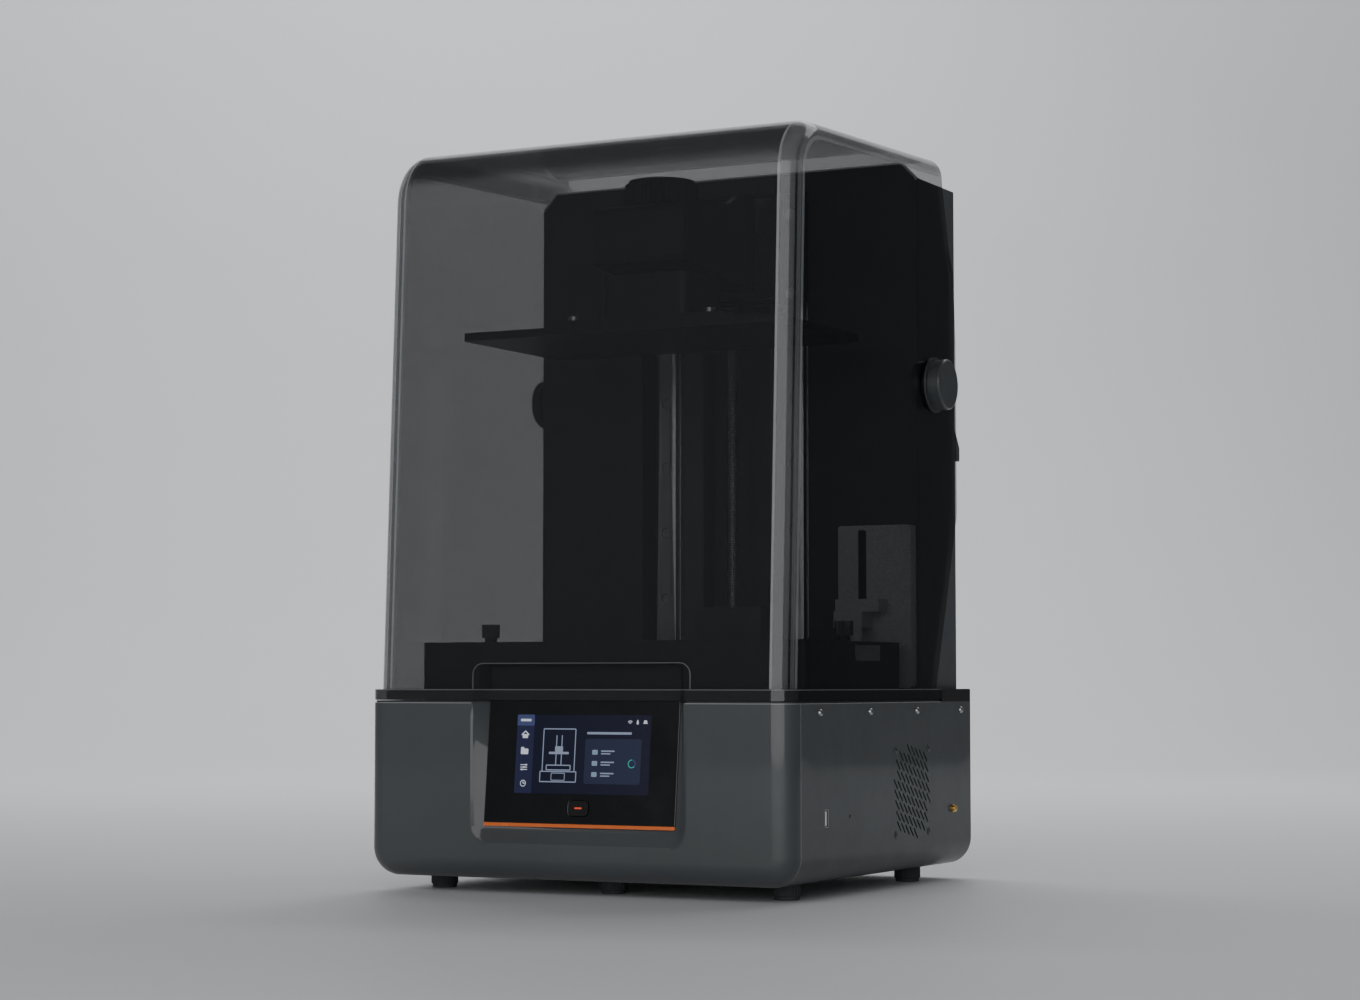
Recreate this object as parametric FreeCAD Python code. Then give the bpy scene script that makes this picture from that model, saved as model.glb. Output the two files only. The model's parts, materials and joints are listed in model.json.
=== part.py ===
import FreeCAD, Part
import math
import os

# Resin printer: base with a light engine and a display, tower with a Z axis, vat, build
# platform and a one-piece flip-up hood. Millimetres, X to the right, +Y to the rear, +Z up,
# origin on the floor under the middle of the base.

V = FreeCAD.Vector
os.makedirs("parts", exist_ok=True)

# ---- base ----
HALF_W = 198.0          # half the base width
HALF_D = 190.0          # half the base depth
FOOT_H = 13.0           # height of the feet, and underside of the base
WALL_TOP = 158.0        # top edge of the base walls
DECK_LOW = 155.0        # underside of the deck plate, which lies between the walls
DECK_TOP = 158.0        # top face of the deck plate
WALL = 3.0              # moulded and folded wall thickness
CORNER_R = 18.0         # round along the upright and lower edges of the front face
REAR_R = 3.0            # folded rear corners
BOTTOM_R = 24.0         # lower corners, seen from the front
SEAM_Y = -172.0         # joint between the front fascia and the tray
SEAM_GAP = 0.6          # width and depth of the groove along that joint
SIDE_SCREW_Z = 150.5
SIDE_SCREW_Y = (-136.0, -36.0, 64.0, 164.0)
USB_Y = -124.0          # sockets on the right side
USB_Z = 66.0
RESET_Y = -78.0
ANTENNA_Y = 144.0
ANTENNA_Z = 64.0
ANTENNA_TIP = 201.4
ANTENNA_R = 3.1

# ---- recess in the front face, with the tilted panel ----
PANEL_X = 5.0           # middle of the recess and the panel, a little right of the middle
RECESS_A = 99.0         # half width at the front face
RECESS_B = 89.0         # half width at the back of the recess
RECESS_DEPTH = 13.0     # at the top edge
RECESS_LOW = 43.0       # lower edge of the recess
RECESS_R = 12.0         # round of its lower corners
PANEL_LOW_Z = 59.5      # foot of the glass panel
PANEL_H = 100.3         # panel height along its slope
PANEL_T = 2.0
PANEL_TILT = 5.7        # degrees back from upright
PANEL_FOOT_Y = -185.0   # back of the glass at its foot
BUTTON_Z = 13.0         # power button, up the panel from its foot
BUTTON_W = 18.5
BUTTON_H = 12.3

# ---- hood ----
FLANGE_LOW = 160.0
FLANGE_TOP = 169.0
FLANGE_REAR = 120.0
HOOD_HALF = 193.0
HOOD_FRONT = -184.6
HOOD_LEAN = 0.042       # the front face leans back by this much for each millimetre up
HOOD_T = 3.0
ROOF_AT_0 = 637.4       # roof height above the origin
ROOF_SLOPE = 0.0405     # the roof rises to the rear
ROOF_REAR = 137.0
NOSE_R = 48.0           # front top edge
HOOD_R = 17.0           # round along the side edges of the hood
NOTCH_STEP = 2.0        # the finger notch is deeper by this above the flange
NOTCH_TOP = 190.0
PIVOT_Y = 120.0
PIVOT_Z = 437.0
PIN_R = 5.0
RUN_GAP = 0.05          # radial running clearance of pins and shafts
CAP_X = 207.0           # outer face of the hinge caps
CAP_R = 22.5
CAP_RING_R = 24.5

# ---- tower and Z axis ----
TOWER_HALF = 189.2
PLATE_Y = 90.0
PLATE_T = 3.0
PLATE_TOP = 632.5
COVER_TOP = 618.0
COVER_REAR = 180.0
SHEET = 2.0
WINDOW_HALF = 84.0
WINDOW_LOW = 213.0
WINDOW_TOP = 614.5
COLUMN_Y = 116.0
GROOVE_HALF = 34.0
SCREW_Y = 108.0
SCREW_R = 6.0
RAIL_X = 64.5
RAIL_W = 20.0
RAIL_FRONT = 100.0
RAIL_LOW = 213.0
RAIL_TOP = 612.0
HOLE_PITCH = 60.0
HOLE_FIRST = 251.0
LOWER_BLOCK_TOP = 243.0

# ---- build platform ----
PLATE_HALF_X = 151.0
PLATE_HALF_Y = 84.0
CENTRE_Y = -31.0        # middle of the screen, the vat and the platform
SLAB_LOW = 470.0
SLAB_T = 7.0
KNOB_R = 32.0
KNOB_TOP = 610.0
MOUNT_LOW = 487.0       # top of the platform's hub, where its mounting block starts
ARM_BOLT_R = 3.0
LEVEL_BOLT_R = 3.0
LEVEL_BOLT_LEN = 12.0
STUD_R = 6.0

# ---- vat and screen ----
VAT_HALF_X = 183.0
VAT_FRONT = -128.0
VAT_REAR = 66.0
VAT_TOP = 209.0
FILM_Z = 170.0
FILM_T = 0.4
THUMB_X = 172.0

# ---- fans ----
FAN_Y = 53.0
FAN_Z = 82.0
FAN_W = 80.0
FAN_T = 25.0
FAN_PITCH = 71.5


# ======== helpers ========

def box(x0, x1, y0, y1, z0, z1):
    return Part.makeBox(x1 - x0, y1 - y0, z1 - z0, V(x0, y0, z0))


def rod(radius, x, y, z, axis, length):
    return Part.makeCylinder(radius, length, V(x, y, z), V(*axis))


def rounded_edges(points, place):
    """Closed outline through (u, v) or (u, v, radius) corners."""
    count = len(points)
    starts = []
    for i in range(count):
        corner = V(points[i][0], points[i][1], 0)
        radius = points[i][2] if len(points[i]) > 2 else 0.0
        before = V(points[i - 1][0], points[i - 1][1], 0) - corner
        after_point = points[(i + 1) % count]
        after = V(after_point[0], after_point[1], 0) - corner
        before.normalize()
        after.normalize()
        if radius <= 0:
            starts.append((corner, None, corner))
            continue
        half = before.getAngle(after) / 2
        reach = radius / math.tan(half)
        middle = before + after
        middle.normalize()
        top = corner + middle * (radius / math.sin(half) - radius)
        starts.append((corner + before * reach, top, corner + after * reach))
    edges = []
    for i in range(count):
        first, top, last = starts[i]
        if top is not None:
            edges.append(Part.Arc(place(first), place(top), place(last)).toShape())
        following = starts[(i + 1) % count][0]
        if last.distanceToPoint(following) > 1e-6:
            edges.append(Part.LineSegment(place(last), place(following)).toShape())
    return edges


def prism(points, plane, low, high):
    """Solid with the given outline in plane "xy", "xz" or "yz", from low to high across it."""
    places = {
        "xy": lambda p: V(p.x, p.y, low),
        "xz": lambda p: V(p.x, low, p.y),
        "yz": lambda p: V(low, p.x, p.y),
    }
    normals = {"xy": V(0, 0, 1), "xz": V(0, 1, 0), "yz": V(1, 0, 0)}
    wire = Part.Wire(rounded_edges(points, places[plane]))
    return Part.Face(wire).extrude(normals[plane] * (high - low))


def rectangle(u0, u1, v0, v1, radius=0.0):
    return [(u0, v0, radius), (u1, v0, radius), (u1, v1, radius), (u0, v1, radius)]


def common(first, *others):
    for other in others:
        first = first.common(other)
    return first


def mirrored(shape):
    return shape.mirror(V(0, 0, 0), V(1, 0, 0))


def both_sides(shape):
    return Part.makeCompound([shape, mirrored(shape)])


def save(name, shape):
    if not shape.isValid():
        print("invalid solid:", name)
    shape.exportStep("parts/" + name + ".step")


def on_panel(shape):
    """Carries a shape from the panel's own frame (z up the slope, y into the base)."""
    shape = shape.copy()
    shape.rotate(V(0, 0, 0), V(1, 0, 0), -PANEL_TILT)
    shape.translate(V(PANEL_X, PANEL_FOOT_Y, PANEL_LOW_Z))
    return shape


def screw(x, y, z, axis, head_r, head_h, shank_r, shank_len):
    """Domed screw: its head stands along axis from the point, its shank runs the other way."""
    head = rod(head_r, x, y, z, axis, head_h)
    back = tuple(-part for part in axis)
    return head.fuse(rod(shank_r, x, y, z, back, shank_len))


# ======== base ========

def front_edges(solid, y, top):
    """Edges round a face that looks along -Y, without its upper one."""
    edges = []
    for edge in solid.Edges:
        box_of = edge.BoundBox
        if abs(box_of.YMin - y) < 0.01 and abs(box_of.YMax - y) < 0.01 and box_of.ZMin < top - 1:
            edges.append(edge)
    return edges


def base_solid(inset):
    """Outer form of the base drawn in by inset; the inner one runs out through the top."""
    top = WALL_TOP + (5.0 if inset else 0.0)
    low = FOOT_H + inset
    x = HALF_W - inset
    y = HALF_D - inset
    above = top + 30.0
    outline = [(-x, above), (-x, low, BOTTOM_R - inset), (x, low, BOTTOM_R - inset), (x, above)]
    block = prism(outline, "xz", -y, y)
    block = block.makeFillet(CORNER_R - inset, front_edges(block, -y, above))
    if inset < REAR_R:
        block = block.makeFillet(REAR_R - inset, front_edges(block, y, above))
    return block.common(box(-x - 1, x + 1, -y - 1, y + 1, low - 1, top))


def deck_outline(y_rear, inset):
    """Plan of the base's upper edge drawn in by inset, from the front to y_rear."""
    x = HALF_W - inset
    y = -HALF_D + inset
    return [(-x, y_rear), (-x, y, CORNER_R - inset), (x, y, CORNER_R - inset), (x, y_rear)]


def recess_section(z, half_front, half_back, back_y):
    front_y = -HALF_D - 1.0
    return [V(PANEL_X - half_front, front_y, z), V(PANEL_X - half_back, back_y, z),
            V(PANEL_X + half_back, back_y, z), V(PANEL_X + half_front, front_y, z)]


def flat_face(*points):
    return Part.Face(Part.makePolygon(list(points) + [points[0]]))


def stacked_solid(sections):
    """Solid through four-cornered sections, with flat triangles where its sides twist."""
    faces = [flat_face(*sections[0]), flat_face(*sections[-1])]
    for low, high in zip(sections, sections[1:]):
        for i in range(4):
            j = (i + 1) % 4
            faces.append(flat_face(low[i], low[j], high[j]))
            faces.append(flat_face(low[i], high[j], high[i]))
    solid = Part.Solid(Part.Shell(faces))
    if solid.Volume < 0:
        solid.reverse()
    return solid


def recess_void(grow):
    """The hollow in the front face, from the deck to below the panel, with rounded lower corners."""
    slope = math.tan(math.radians(PANEL_TILT))
    foot = PANEL_LOW_Z - 3.2
    top = DECK_TOP + 3.0
    foot_y = PANEL_FOOT_Y + slope * (foot - PANEL_LOW_Z) + grow
    sections = [
        recess_section(top, RECESS_A + grow, RECESS_B + grow,
                       PANEL_FOOT_Y + slope * (top - PANEL_LOW_Z) + grow),
        recess_section(foot, RECESS_A + grow, RECESS_B + grow, foot_y),
    ]
    low = RECESS_LOW - grow
    lip_y = -HALF_D + 0.2
    steps = 6
    for step in range(1, steps + 1):
        turn = math.pi / 2 * step / steps
        z = foot - (foot - low) * math.sin(turn)
        narrow = RECESS_R * (1 - math.cos(turn))
        share = (foot - z) / (foot - low)
        sections.append(recess_section(z, RECESS_A + grow - narrow, RECESS_B + grow - narrow * 0.6,
                                       foot_y + (lip_y - foot_y) * share))
    return stacked_solid(sections)


def notch_plan(grow, deeper):
    deep_y = -HALF_D + RECESS_DEPTH + deeper
    front_x = RECESS_A + 1 + grow
    back_x = RECESS_B + grow
    return [(PANEL_X - front_x, -HALF_D - 1), (PANEL_X - back_x, deep_y),
            (PANEL_X + back_x, deep_y), (PANEL_X + front_x, -HALF_D - 1)]


def notch_face(grow, low):
    """Outline of the notch seen from the front, with round upper corners."""
    x = RECESS_A + 2 + grow
    top = NOTCH_TOP + grow
    left = PANEL_X - x
    right = PANEL_X + x
    face = [(left, low), (left, top, 9 + grow), (right, top, 9 + grow), (right, low)]
    return prism(face, "xz", -HALF_D - 2, -HALF_D + 20)


def notch_void():
    """The same hollow carried up into the hood as a finger notch, a little deeper above the flange."""
    low_part = prism(notch_plan(0, 0), "xy", FLANGE_LOW - 3, NOTCH_TOP + 1)
    high_part = prism(notch_plan(0, NOTCH_STEP), "xy", FLANGE_TOP, NOTCH_TOP + 1)
    return low_part.fuse(high_part).common(notch_face(0, FLANGE_LOW - 4))


def notch_lining():
    """Wall round the finger notch."""
    plan = notch_plan(HOOD_T, NOTCH_STEP + HOOD_T)
    return prism(plan, "xy", FLANGE_LOW, NOTCH_TOP + HOOD_T + 1).common(notch_face(HOOD_T, FLANGE_LOW))


def base_shell():
    """Walls of the base, with a fine groove where the fascia meets the tray."""
    half_gap = SEAM_GAP / 2
    groove = box(-210, 210, SEAM_Y - half_gap, SEAM_Y + half_gap, 0, 200).cut(base_solid(SEAM_GAP))
    return base_solid(0).cut(base_solid(WALL)).cut(groove)


def vent_slots():
    """Staggered 45 degree slots in an eight-sided patch in front of the side fan."""
    pitch = 5.1
    step = 15.2
    half_len = 6.2
    half_wide = 1.1
    reach = 37.0
    corner_reach = 60.0
    slots = []
    for row in range(-11, 12):
        shift = step / 2 if row % 2 else 0.0
        for col in range(-4, 5):
            along = col * step + shift
            across = row * pitch
            y = (along + across) / math.sqrt(2)
            z = (across - along) / math.sqrt(2)
            if max(abs(y), abs(z)) > reach or abs(y) + abs(z) > corner_reach:
                continue
            slot = prism(rectangle(-half_len, half_len, -half_wide, half_wide, 1.1),
                         "yz", HALF_W - 6, HALF_W + 2)
            slot.rotate(V(0, 0, 0), V(1, 0, 0), -45)
            slot.translate(V(0, FAN_Y + y, FAN_Z + z))
            slots.append(slot)
    return Part.makeCompound(slots)


def foot_places():
    return [(x, y) for y in (-122.0, 126.0) for x in (-162.0, 3.0, 162.0)]


def floor_vents():
    slots = []
    for i in range(-4, 5):
        half = math.sqrt(44.0 ** 2 - (i * 9.0) ** 2)
        slots.append(prism(rectangle(i * 9.0 - 2, i * 9.0 + 2, CENTRE_Y - half, CENTRE_Y + half, 1.9),
                           "xy", FOOT_H - 1, FOOT_H + WALL + 1))
    return Part.makeCompound(slots)


def fan_corners(pitch):
    half = pitch / 2
    return [(u, v) for u in (-half, half) for v in (-half, half)]


REAR_OPEN = (-150.0, 150.0, 46.0, 138.0)
INLET_X = -105.0
SWITCH_X = -58.0
REAR_Z = 66.0


def make_base_tray():
    tray = base_shell().common(box(-210, 210, SEAM_Y, 210, 0, 200))
    tray = tray.cut(vent_slots()).cut(floor_vents())
    x0, x1, z0, z1 = REAR_OPEN
    tray = tray.cut(prism(rectangle(x0, x1, z0, z1, 6), "xz", 180, 195))
    holes = [rod(1.5, 190, RESET_Y, USB_Z, (1, 0, 0), 12)]
    holes.append(prism(rectangle(USB_Y - 3.8, USB_Y + 3.8, USB_Z - 7.6, USB_Z + 7.6, 1), "yz", 190, 200))
    holes.append(rod(ANTENNA_R + 0.2, 190, ANTENNA_Y, ANTENNA_Z, (1, 0, 0), 12))
    for y in SIDE_SCREW_Y:
        holes.append(rod(2.1, 190, y, SIDE_SCREW_Z, (1, 0, 0), 12))
        holes.append(rod(2.1, -202, y, SIDE_SCREW_Z, (1, 0, 0), 12))
    for u, v in fan_corners(FAN_PITCH):
        holes.append(rod(2.1, 190, FAN_Y + u, FAN_Z + v, (1, 0, 0), 12))
    for x, y in foot_places():
        holes.append(rod(4.1, x, y, 10, (0, 0, 1), 12))
    save("base_tray", tray.cut(Part.makeCompound(holes)))


def make_front_fascia():
    front = box(-210, 210, -210, SEAM_Y, 0, 200)
    shell = base_shell().common(front)
    lining = recess_void(WALL).common(base_solid(0)).common(box(-210, 210, -210, -150, 0, WALL_TOP))
    fascia = shell.fuse(lining).cut(recess_void(0))
    window = on_panel(box(-66, 66, -5, 12, 22, 92))
    button_hole = on_panel(prism(rectangle(-BUTTON_W / 2 - 0.4, BUTTON_W / 2 + 0.4,
                                           BUTTON_Z - BUTTON_H / 2 - 0.4,
                                           BUTTON_Z + BUTTON_H / 2 + 0.4, 4), "xz", -5, 12))
    save("front_fascia", fascia.cut(window).cut(button_hole))


def make_rear_panel():
    panel = prism(rectangle(-156, 156, 38, 146, 8), "xz", HALF_D - WALL - 3, HALF_D - WALL)
    panel = panel.cut(box(INLET_X - 14.1, INLET_X + 14.1, 180, 190, REAR_Z - 10.6, REAR_Z + 10.6))
    panel = panel.cut(box(SWITCH_X - 8.2, SWITCH_X + 8.2, 180, 190, REAR_Z - 12.7, REAR_Z + 12.7))
    vents = []
    for i in range(14):
        x = 10 + i * 9.0
        vents.append(prism(rectangle(x - 2, x + 2, 60, 116, 1.9), "xz", 180, 190))
    save("rear_panel", panel.cut(Part.makeCompound(vents)))


def make_deck_plate():
    plate = prism(deck_outline(HALF_D - WALL, WALL), "xy", DECK_LOW, DECK_TOP)
    plate = plate.cut(recess_void(WALL))
    plate = plate.cut(box(-150, 150, CENTRE_Y - 82, CENTRE_Y + 82, 150, 160))
    plate = plate.cut(rod(16, 0, SCREW_Y, 150, (0, 0, 1), 12))
    for side in (-1, 1):
        plate = plate.cut(rod(3.0 + RUN_GAP, side * THUMB_X, CENTRE_Y, 150, (0, 0, 1), 12))
        plate = plate.cut(rod(9, side * 130, 140, 150, (0, 0, 1), 12))
    save("deck_plate", plate)


def make_deck_rim():
    outer = prism([(-HALF_W, FLANGE_REAR + 1), (HALF_W, FLANGE_REAR + 1), (HALF_W, HALF_D, REAR_R),
                   (-HALF_W, HALF_D, REAR_R)], "xy", DECK_TOP, FLANGE_TOP)
    inner = box(-TOWER_HALF - 1.5, TOWER_HALF + 1.5, 100, COVER_REAR + 1.5, 150, 180)
    save("deck_rim", outer.cut(inner))


def seal_outline(inset):
    x = HALF_W - inset
    y = -HALF_D + inset
    a = RECESS_A + inset * 0.9
    b = RECESS_B + inset * 0.4
    deep = -HALF_D + RECESS_DEPTH + inset + 1.0
    rear = FLANGE_REAR - 2
    r = CORNER_R - inset
    return [(-x, rear), (-x, y, r), (PANEL_X - a, y), (PANEL_X - b, deep),
            (PANEL_X + b, deep), (PANEL_X + a, y), (x, y, r), (x, rear)]


def make_hood_seal():
    outer = prism(seal_outline(1.5), "xy", DECK_TOP, FLANGE_LOW - 0.4)
    inner = prism(seal_outline(5.0), "xy", DECK_TOP - 1, FLANGE_LOW + 1)
    inner = inner.fuse(box(-HALF_W + 5, HALF_W - 5, 0, FLANGE_REAR + 5, DECK_TOP - 1, FLANGE_LOW + 1))
    save("hood_seal", outer.cut(inner))


def make_case_screws():
    """Four deck screws on each side and four for the side fan."""
    right = [screw(HALF_W, y, SIDE_SCREW_Z, (1, 0, 0), 3.4, 2.2, 2.0, 12) for y in SIDE_SCREW_Y]
    left = [mirrored(one) for one in right]
    fan = [screw(HALF_W, FAN_Y + u, FAN_Z + v, (1, 0, 0), 3.2, 0.9, 2.0, 6)
           for u, v in fan_corners(FAN_PITCH)]
    save("case_screws", Part.makeCompound(right + left + fan))


def make_rubber_feet():
    feet = []
    for x, y in foot_places():
        foot = rod(10.4, x, y, 0, (0, 0, 1), 3.4).fuse(rod(11.5, x, y, 2.6, (0, 0, 1), FOOT_H - 2.6))
        feet.append(foot.fuse(rod(4.0, x, y, FOOT_H, (0, 0, 1), 8)))
    save("rubber_feet", Part.makeCompound(feet))


# ======== display panel ========

def make_touch_glass():
    glass = box(-RECESS_B + 0.2, RECESS_B - 0.2, -PANEL_T, -0.05, 0.2, PANEL_H)
    hole = prism(rectangle(-BUTTON_W / 2 - 0.4, BUTTON_W / 2 + 0.4, BUTTON_Z - BUTTON_H / 2 - 0.4,
                           BUTTON_Z + BUTTON_H / 2 + 0.4, 4), "xz", -5, 5)
    save("touch_glass", on_panel(glass.cut(hole)))


def make_display_module():
    screen = box(-61.5, 63.5, 0.2, 4, 24.5, 89)
    board = box(-70, 70, 4.2, 8, -2, 94)
    board = board.cut(box(-12, 12, 3, 10, BUTTON_Z - 9, BUTTON_Z + 9))
    save("display_module", on_panel(screen.fuse(board).fuse(box(-60, 60, 3.5, 4.5, 26, 88))))


def make_accent_strip():
    save("accent_strip", on_panel(box(-RECESS_B + 0.2, RECESS_B - 0.2, -2.4, -0.05, -2.9, 0)))


def make_power_button():
    cap = prism(rectangle(-BUTTON_W / 2, BUTTON_W / 2, BUTTON_Z - BUTTON_H / 2,
                          BUTTON_Z + BUTTON_H / 2, 3.8), "xz", -PANEL_T - 0.6, 5.0)
    stem = rod(3.0, 0, 5.0, BUTTON_Z, (0, 1, 0), 2.5)
    save("power_button", on_panel(cap.fuse(stem)))


# ======== connectors ========

def make_usb_port():
    y = USB_Y
    z = USB_Z
    shell = prism(rectangle(y - 3.5, y + 3.5, z - 7.3, z + 7.3, 0.9), "yz", 180, HALF_W + 0.2)
    cavity = box(181, 200, y - 2.8, y + 2.8, z - 6.6, z + 6.6)
    tongue = box(181, 195, y - 1.9, y + 0.1, z - 5.5, z + 5.5)
    save("usb_port", shell.cut(cavity).fuse(tongue))


def make_antenna_connector():
    y = ANTENNA_Y
    z = ANTENNA_Z
    barrel = rod(ANTENNA_R, 186, y, z, (1, 0, 0), ANTENNA_TIP - 186)
    washer = rod(3.7, HALF_W, y, z, (1, 0, 0), 0.8)
    corners = [(y + 4.6 * math.cos(math.radians(60 * i)), z + 4.6 * math.sin(math.radians(60 * i)))
               for i in range(6)]
    nut = prism(corners, "yz", HALF_W - WALL - 2.4, HALF_W - WALL)
    socket = rod(1.3, ANTENNA_TIP - 3, y, z, (1, 0, 0), 5)
    save("antenna_connector", barrel.fuse(washer).fuse(nut).cut(socket))


def make_power_inlet():
    body = box(INLET_X - 13.8, INLET_X + 13.8, 165, 187.5, REAR_Z - 10.3, REAR_Z + 10.3)
    flange = prism(rectangle(INLET_X - 20, INLET_X + 20, REAR_Z - 13, REAR_Z + 13, 4),
                   "xz", HALF_D - WALL, HALF_D - 0.6)
    corner = 4.0
    cavity = [(INLET_X - 12, REAR_Z - 8), (INLET_X + 12, REAR_Z - 8), (INLET_X + 12, REAR_Z + 8 - corner),
              (INLET_X + 12 - corner, REAR_Z + 8), (INLET_X - 12 + corner, REAR_Z + 8),
              (INLET_X - 12, REAR_Z + 8 - corner)]
    inlet = body.fuse(flange).cut(prism(cavity, "xz", 170, 195))
    for x, z in ((-7, -2), (0, 2), (7, -2)):
        inlet = inlet.fuse(box(INLET_X + x - 1, INLET_X + x + 1, 168, 184, REAR_Z + z - 2, REAR_Z + z + 2))
    save("power_inlet", inlet)


ROCKER_Y = 183.5


def make_switch_housing():
    body = box(SWITCH_X - 8, SWITCH_X + 8, 166, 187.5, REAR_Z - 12.5, REAR_Z + 12.5)
    flange = prism(rectangle(SWITCH_X - 10, SWITCH_X + 10, REAR_Z - 15, REAR_Z + 15, 2),
                   "xz", HALF_D - WALL, HALF_D - 0.6)
    cavity = box(SWITCH_X - 6.4, SWITCH_X + 6.4, 170, 195, REAR_Z - 11, REAR_Z + 11)
    sockets = rod(1.5 + RUN_GAP, SWITCH_X - 7.4, ROCKER_Y, REAR_Z, (1, 0, 0), 14.8)
    save("switch_housing", body.fuse(flange).cut(cavity).cut(sockets))


def make_rocker():
    half = 9.5
    section = [(-3, -half), (4, -half), (1.6, 0), (4, half), (-3, half)]
    rocker = prism(section, "yz", SWITCH_X - 6, SWITCH_X + 6)
    rocker = rocker.fuse(rod(1.5, SWITCH_X - 7.2, 0, 0, (1, 0, 0), 14.4))
    rocker.rotate(V(0, 0, 0), V(1, 0, 0), -10)
    rocker.translate(V(0, ROCKER_Y, REAR_Z))
    save("power_rocker", rocker)


# ======== fans, built with their axis along Z, air leaving upwards ========

def fan_frame(width, pitch, thick):
    half = width / 2
    bore = half - 2.0
    frame = prism(rectangle(-half, half, -half, half, 5), "xy", 0, thick)
    frame = frame.cut(rod(bore, 0, 0, -1, (0, 0, 1), thick + 2))
    hub = rod(16, 0, 0, 0, (0, 0, 1), 3)
    arms = [box(-bore - 0.5, bore + 0.5, -1.6, 1.6, 0, 2.5), box(-1.6, 1.6, -bore - 0.5, bore + 0.5, 0, 2.5)]
    frame = frame.fuse(hub).fuse(arms[0]).fuse(arms[1])
    pin = rod(1.5, 0, 0, 0, (0, 0, 1), 14)
    frame = frame.fuse(pin)
    for u, v in fan_corners(pitch):
        frame = frame.cut(rod(2.2, u, v, -1, (0, 0, 1), thick + 2))
    return frame


def fan_rotor(width, thick):
    tip = width / 2 - 3.2
    rotor = rod(15, 0, 0, 4, (0, 0, 1), thick - 6)
    rotor = rotor.cut(rod(1.5 + RUN_GAP, 0, 0, 3, (0, 0, 1), 12))
    for i in range(7):
        blade = box(13.5, tip - 1, -0.9, 0.9, -13, 13)
        blade.rotate(V(0, 0, 0), V(1, 0, 0), 48)
        blade.translate(V(0, 0, 4 + (thick - 6) / 2))
        blade.rotate(V(0, 0, 0), V(0, 0, 1), 360.0 * i / 7)
        rotor = rotor.fuse(blade)
    return rotor.common(rod(tip, 0, 0, 4, (0, 0, 1), thick - 6))


def place_side_fan(shape):
    shape.rotate(V(0, 0, 0), V(0, 1, 0), 90)
    shape.translate(V(HALF_W - WALL - 0.5 - FAN_T, FAN_Y, FAN_Z))
    return shape


def place_light_fan(shape):
    shape.translate(V(0, CENTRE_Y, FOOT_H + WALL + 2.5))
    return shape


def make_fans():
    frame = fan_frame(FAN_W, FAN_PITCH, FAN_T)
    rotor = fan_rotor(FAN_W, FAN_T)
    save("side_fan_frame", place_side_fan(frame.copy()))
    save("side_fan_rotor", place_side_fan(rotor.copy()))
    save("light_fan_frame", place_light_fan(frame.copy()))
    save("light_fan_rotor", place_light_fan(rotor.copy()))


# ======== light engine and screen ========

def make_light_engine():
    y0 = CENTRE_Y - 86
    y1 = CENTRE_Y + 86
    housing = box(-155, 155, y0, y1, 78, DECK_LOW)
    housing = housing.cut(box(-152.5, 152.5, y0 + 2.5, y1 - 2.5, 70, 160))
    save("light_housing", housing)
    lens = box(-152, 152, y0 + 3, y1 - 3, 104, 108)
    domes = []
    for i in range(-4, 5):
        for j in range(-2, 3):
            domes.append(rod(13, i * 32.0, CENTRE_Y + j * 32.0, 108, (0, 0, 1), 4))
    save("lens_array", lens.fuse(domes))
    board = box(-155, 155, y0, y1, 74, 78)
    leds = [box(i * 32.0 - 4, i * 32.0 + 4, CENTRE_Y + j * 32.0 - 4, CENTRE_Y + j * 32.0 + 4, 78, 80)
            for i in range(-4, 5) for j in range(-2, 3)]
    save("led_module", board.fuse(leds))
    sink = box(-110, 110, CENTRE_Y - 60, CENTRE_Y + 60, 69, 74)
    fins = [box(-110 + i * 10.0, -108 + i * 10.0, CENTRE_Y - 60, CENTRE_Y + 60, 47, 70) for i in range(22)]
    fins.append(box(108, 110, CENTRE_Y - 60, CENTRE_Y + 60, 47, 70))
    save("led_heatsink", sink.fuse(fins))


def make_screen():
    y = CENTRE_Y
    frame = box(-156, 156, y - 88, y + 88, DECK_TOP, 166)
    frame = frame.cut(box(-153.3, 153.3, y - 85.3, y + 85.3, 150, 170))
    frame = frame.fuse(box(-156, 156, y - 88, y + 88, DECK_TOP, 160.5).cut(
        box(-149, 149, y - 81, y + 81, 150, 170)))
    save("lcd_frame", frame)
    save("lcd_panel", box(-153, 153, y - 85, y + 85, 161, 163.5))
    glass = prism(rectangle(-156, 156, y - 88, y + 88, 3), "xy", 166, 169.3)
    save("lcd_glass", glass.fuse(box(-152, 152, y - 84, y + 84, 163.5, 166.5)))


def make_electronics():
    board = box(-178, -36, 68, 170, 24, 26)
    chips = [(-165, -135, 80, 110, 6), (-120, -95, 85, 105, 14), (-80, -60, 80, 100, 5),
             (-170, -150, 125, 160, 12), (-135, -105, 130, 150, 9), (-90, -50, 140, 164, 13)]
    for x0, x1, y0, y1, high in chips:
        board = board.fuse(box(x0, x1, y0, y1, 25, 26 + high))
    posts = [rod(3, x, y, FOOT_H + WALL, (0, 0, 1), 8.2) for x in (-172, -42) for y in (73, 165)]
    save("mainboard", board.fuse(posts))
    supply = box(38, 155, 66, 160, FOOT_H + WALL + 1, 58)
    ribs = [box(37, 156, 70 + i * 9.0, 73 + i * 9.0, 30, 52) for i in range(10)]
    save("power_supply", supply.fuse(ribs))


# ======== vat ========

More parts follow.
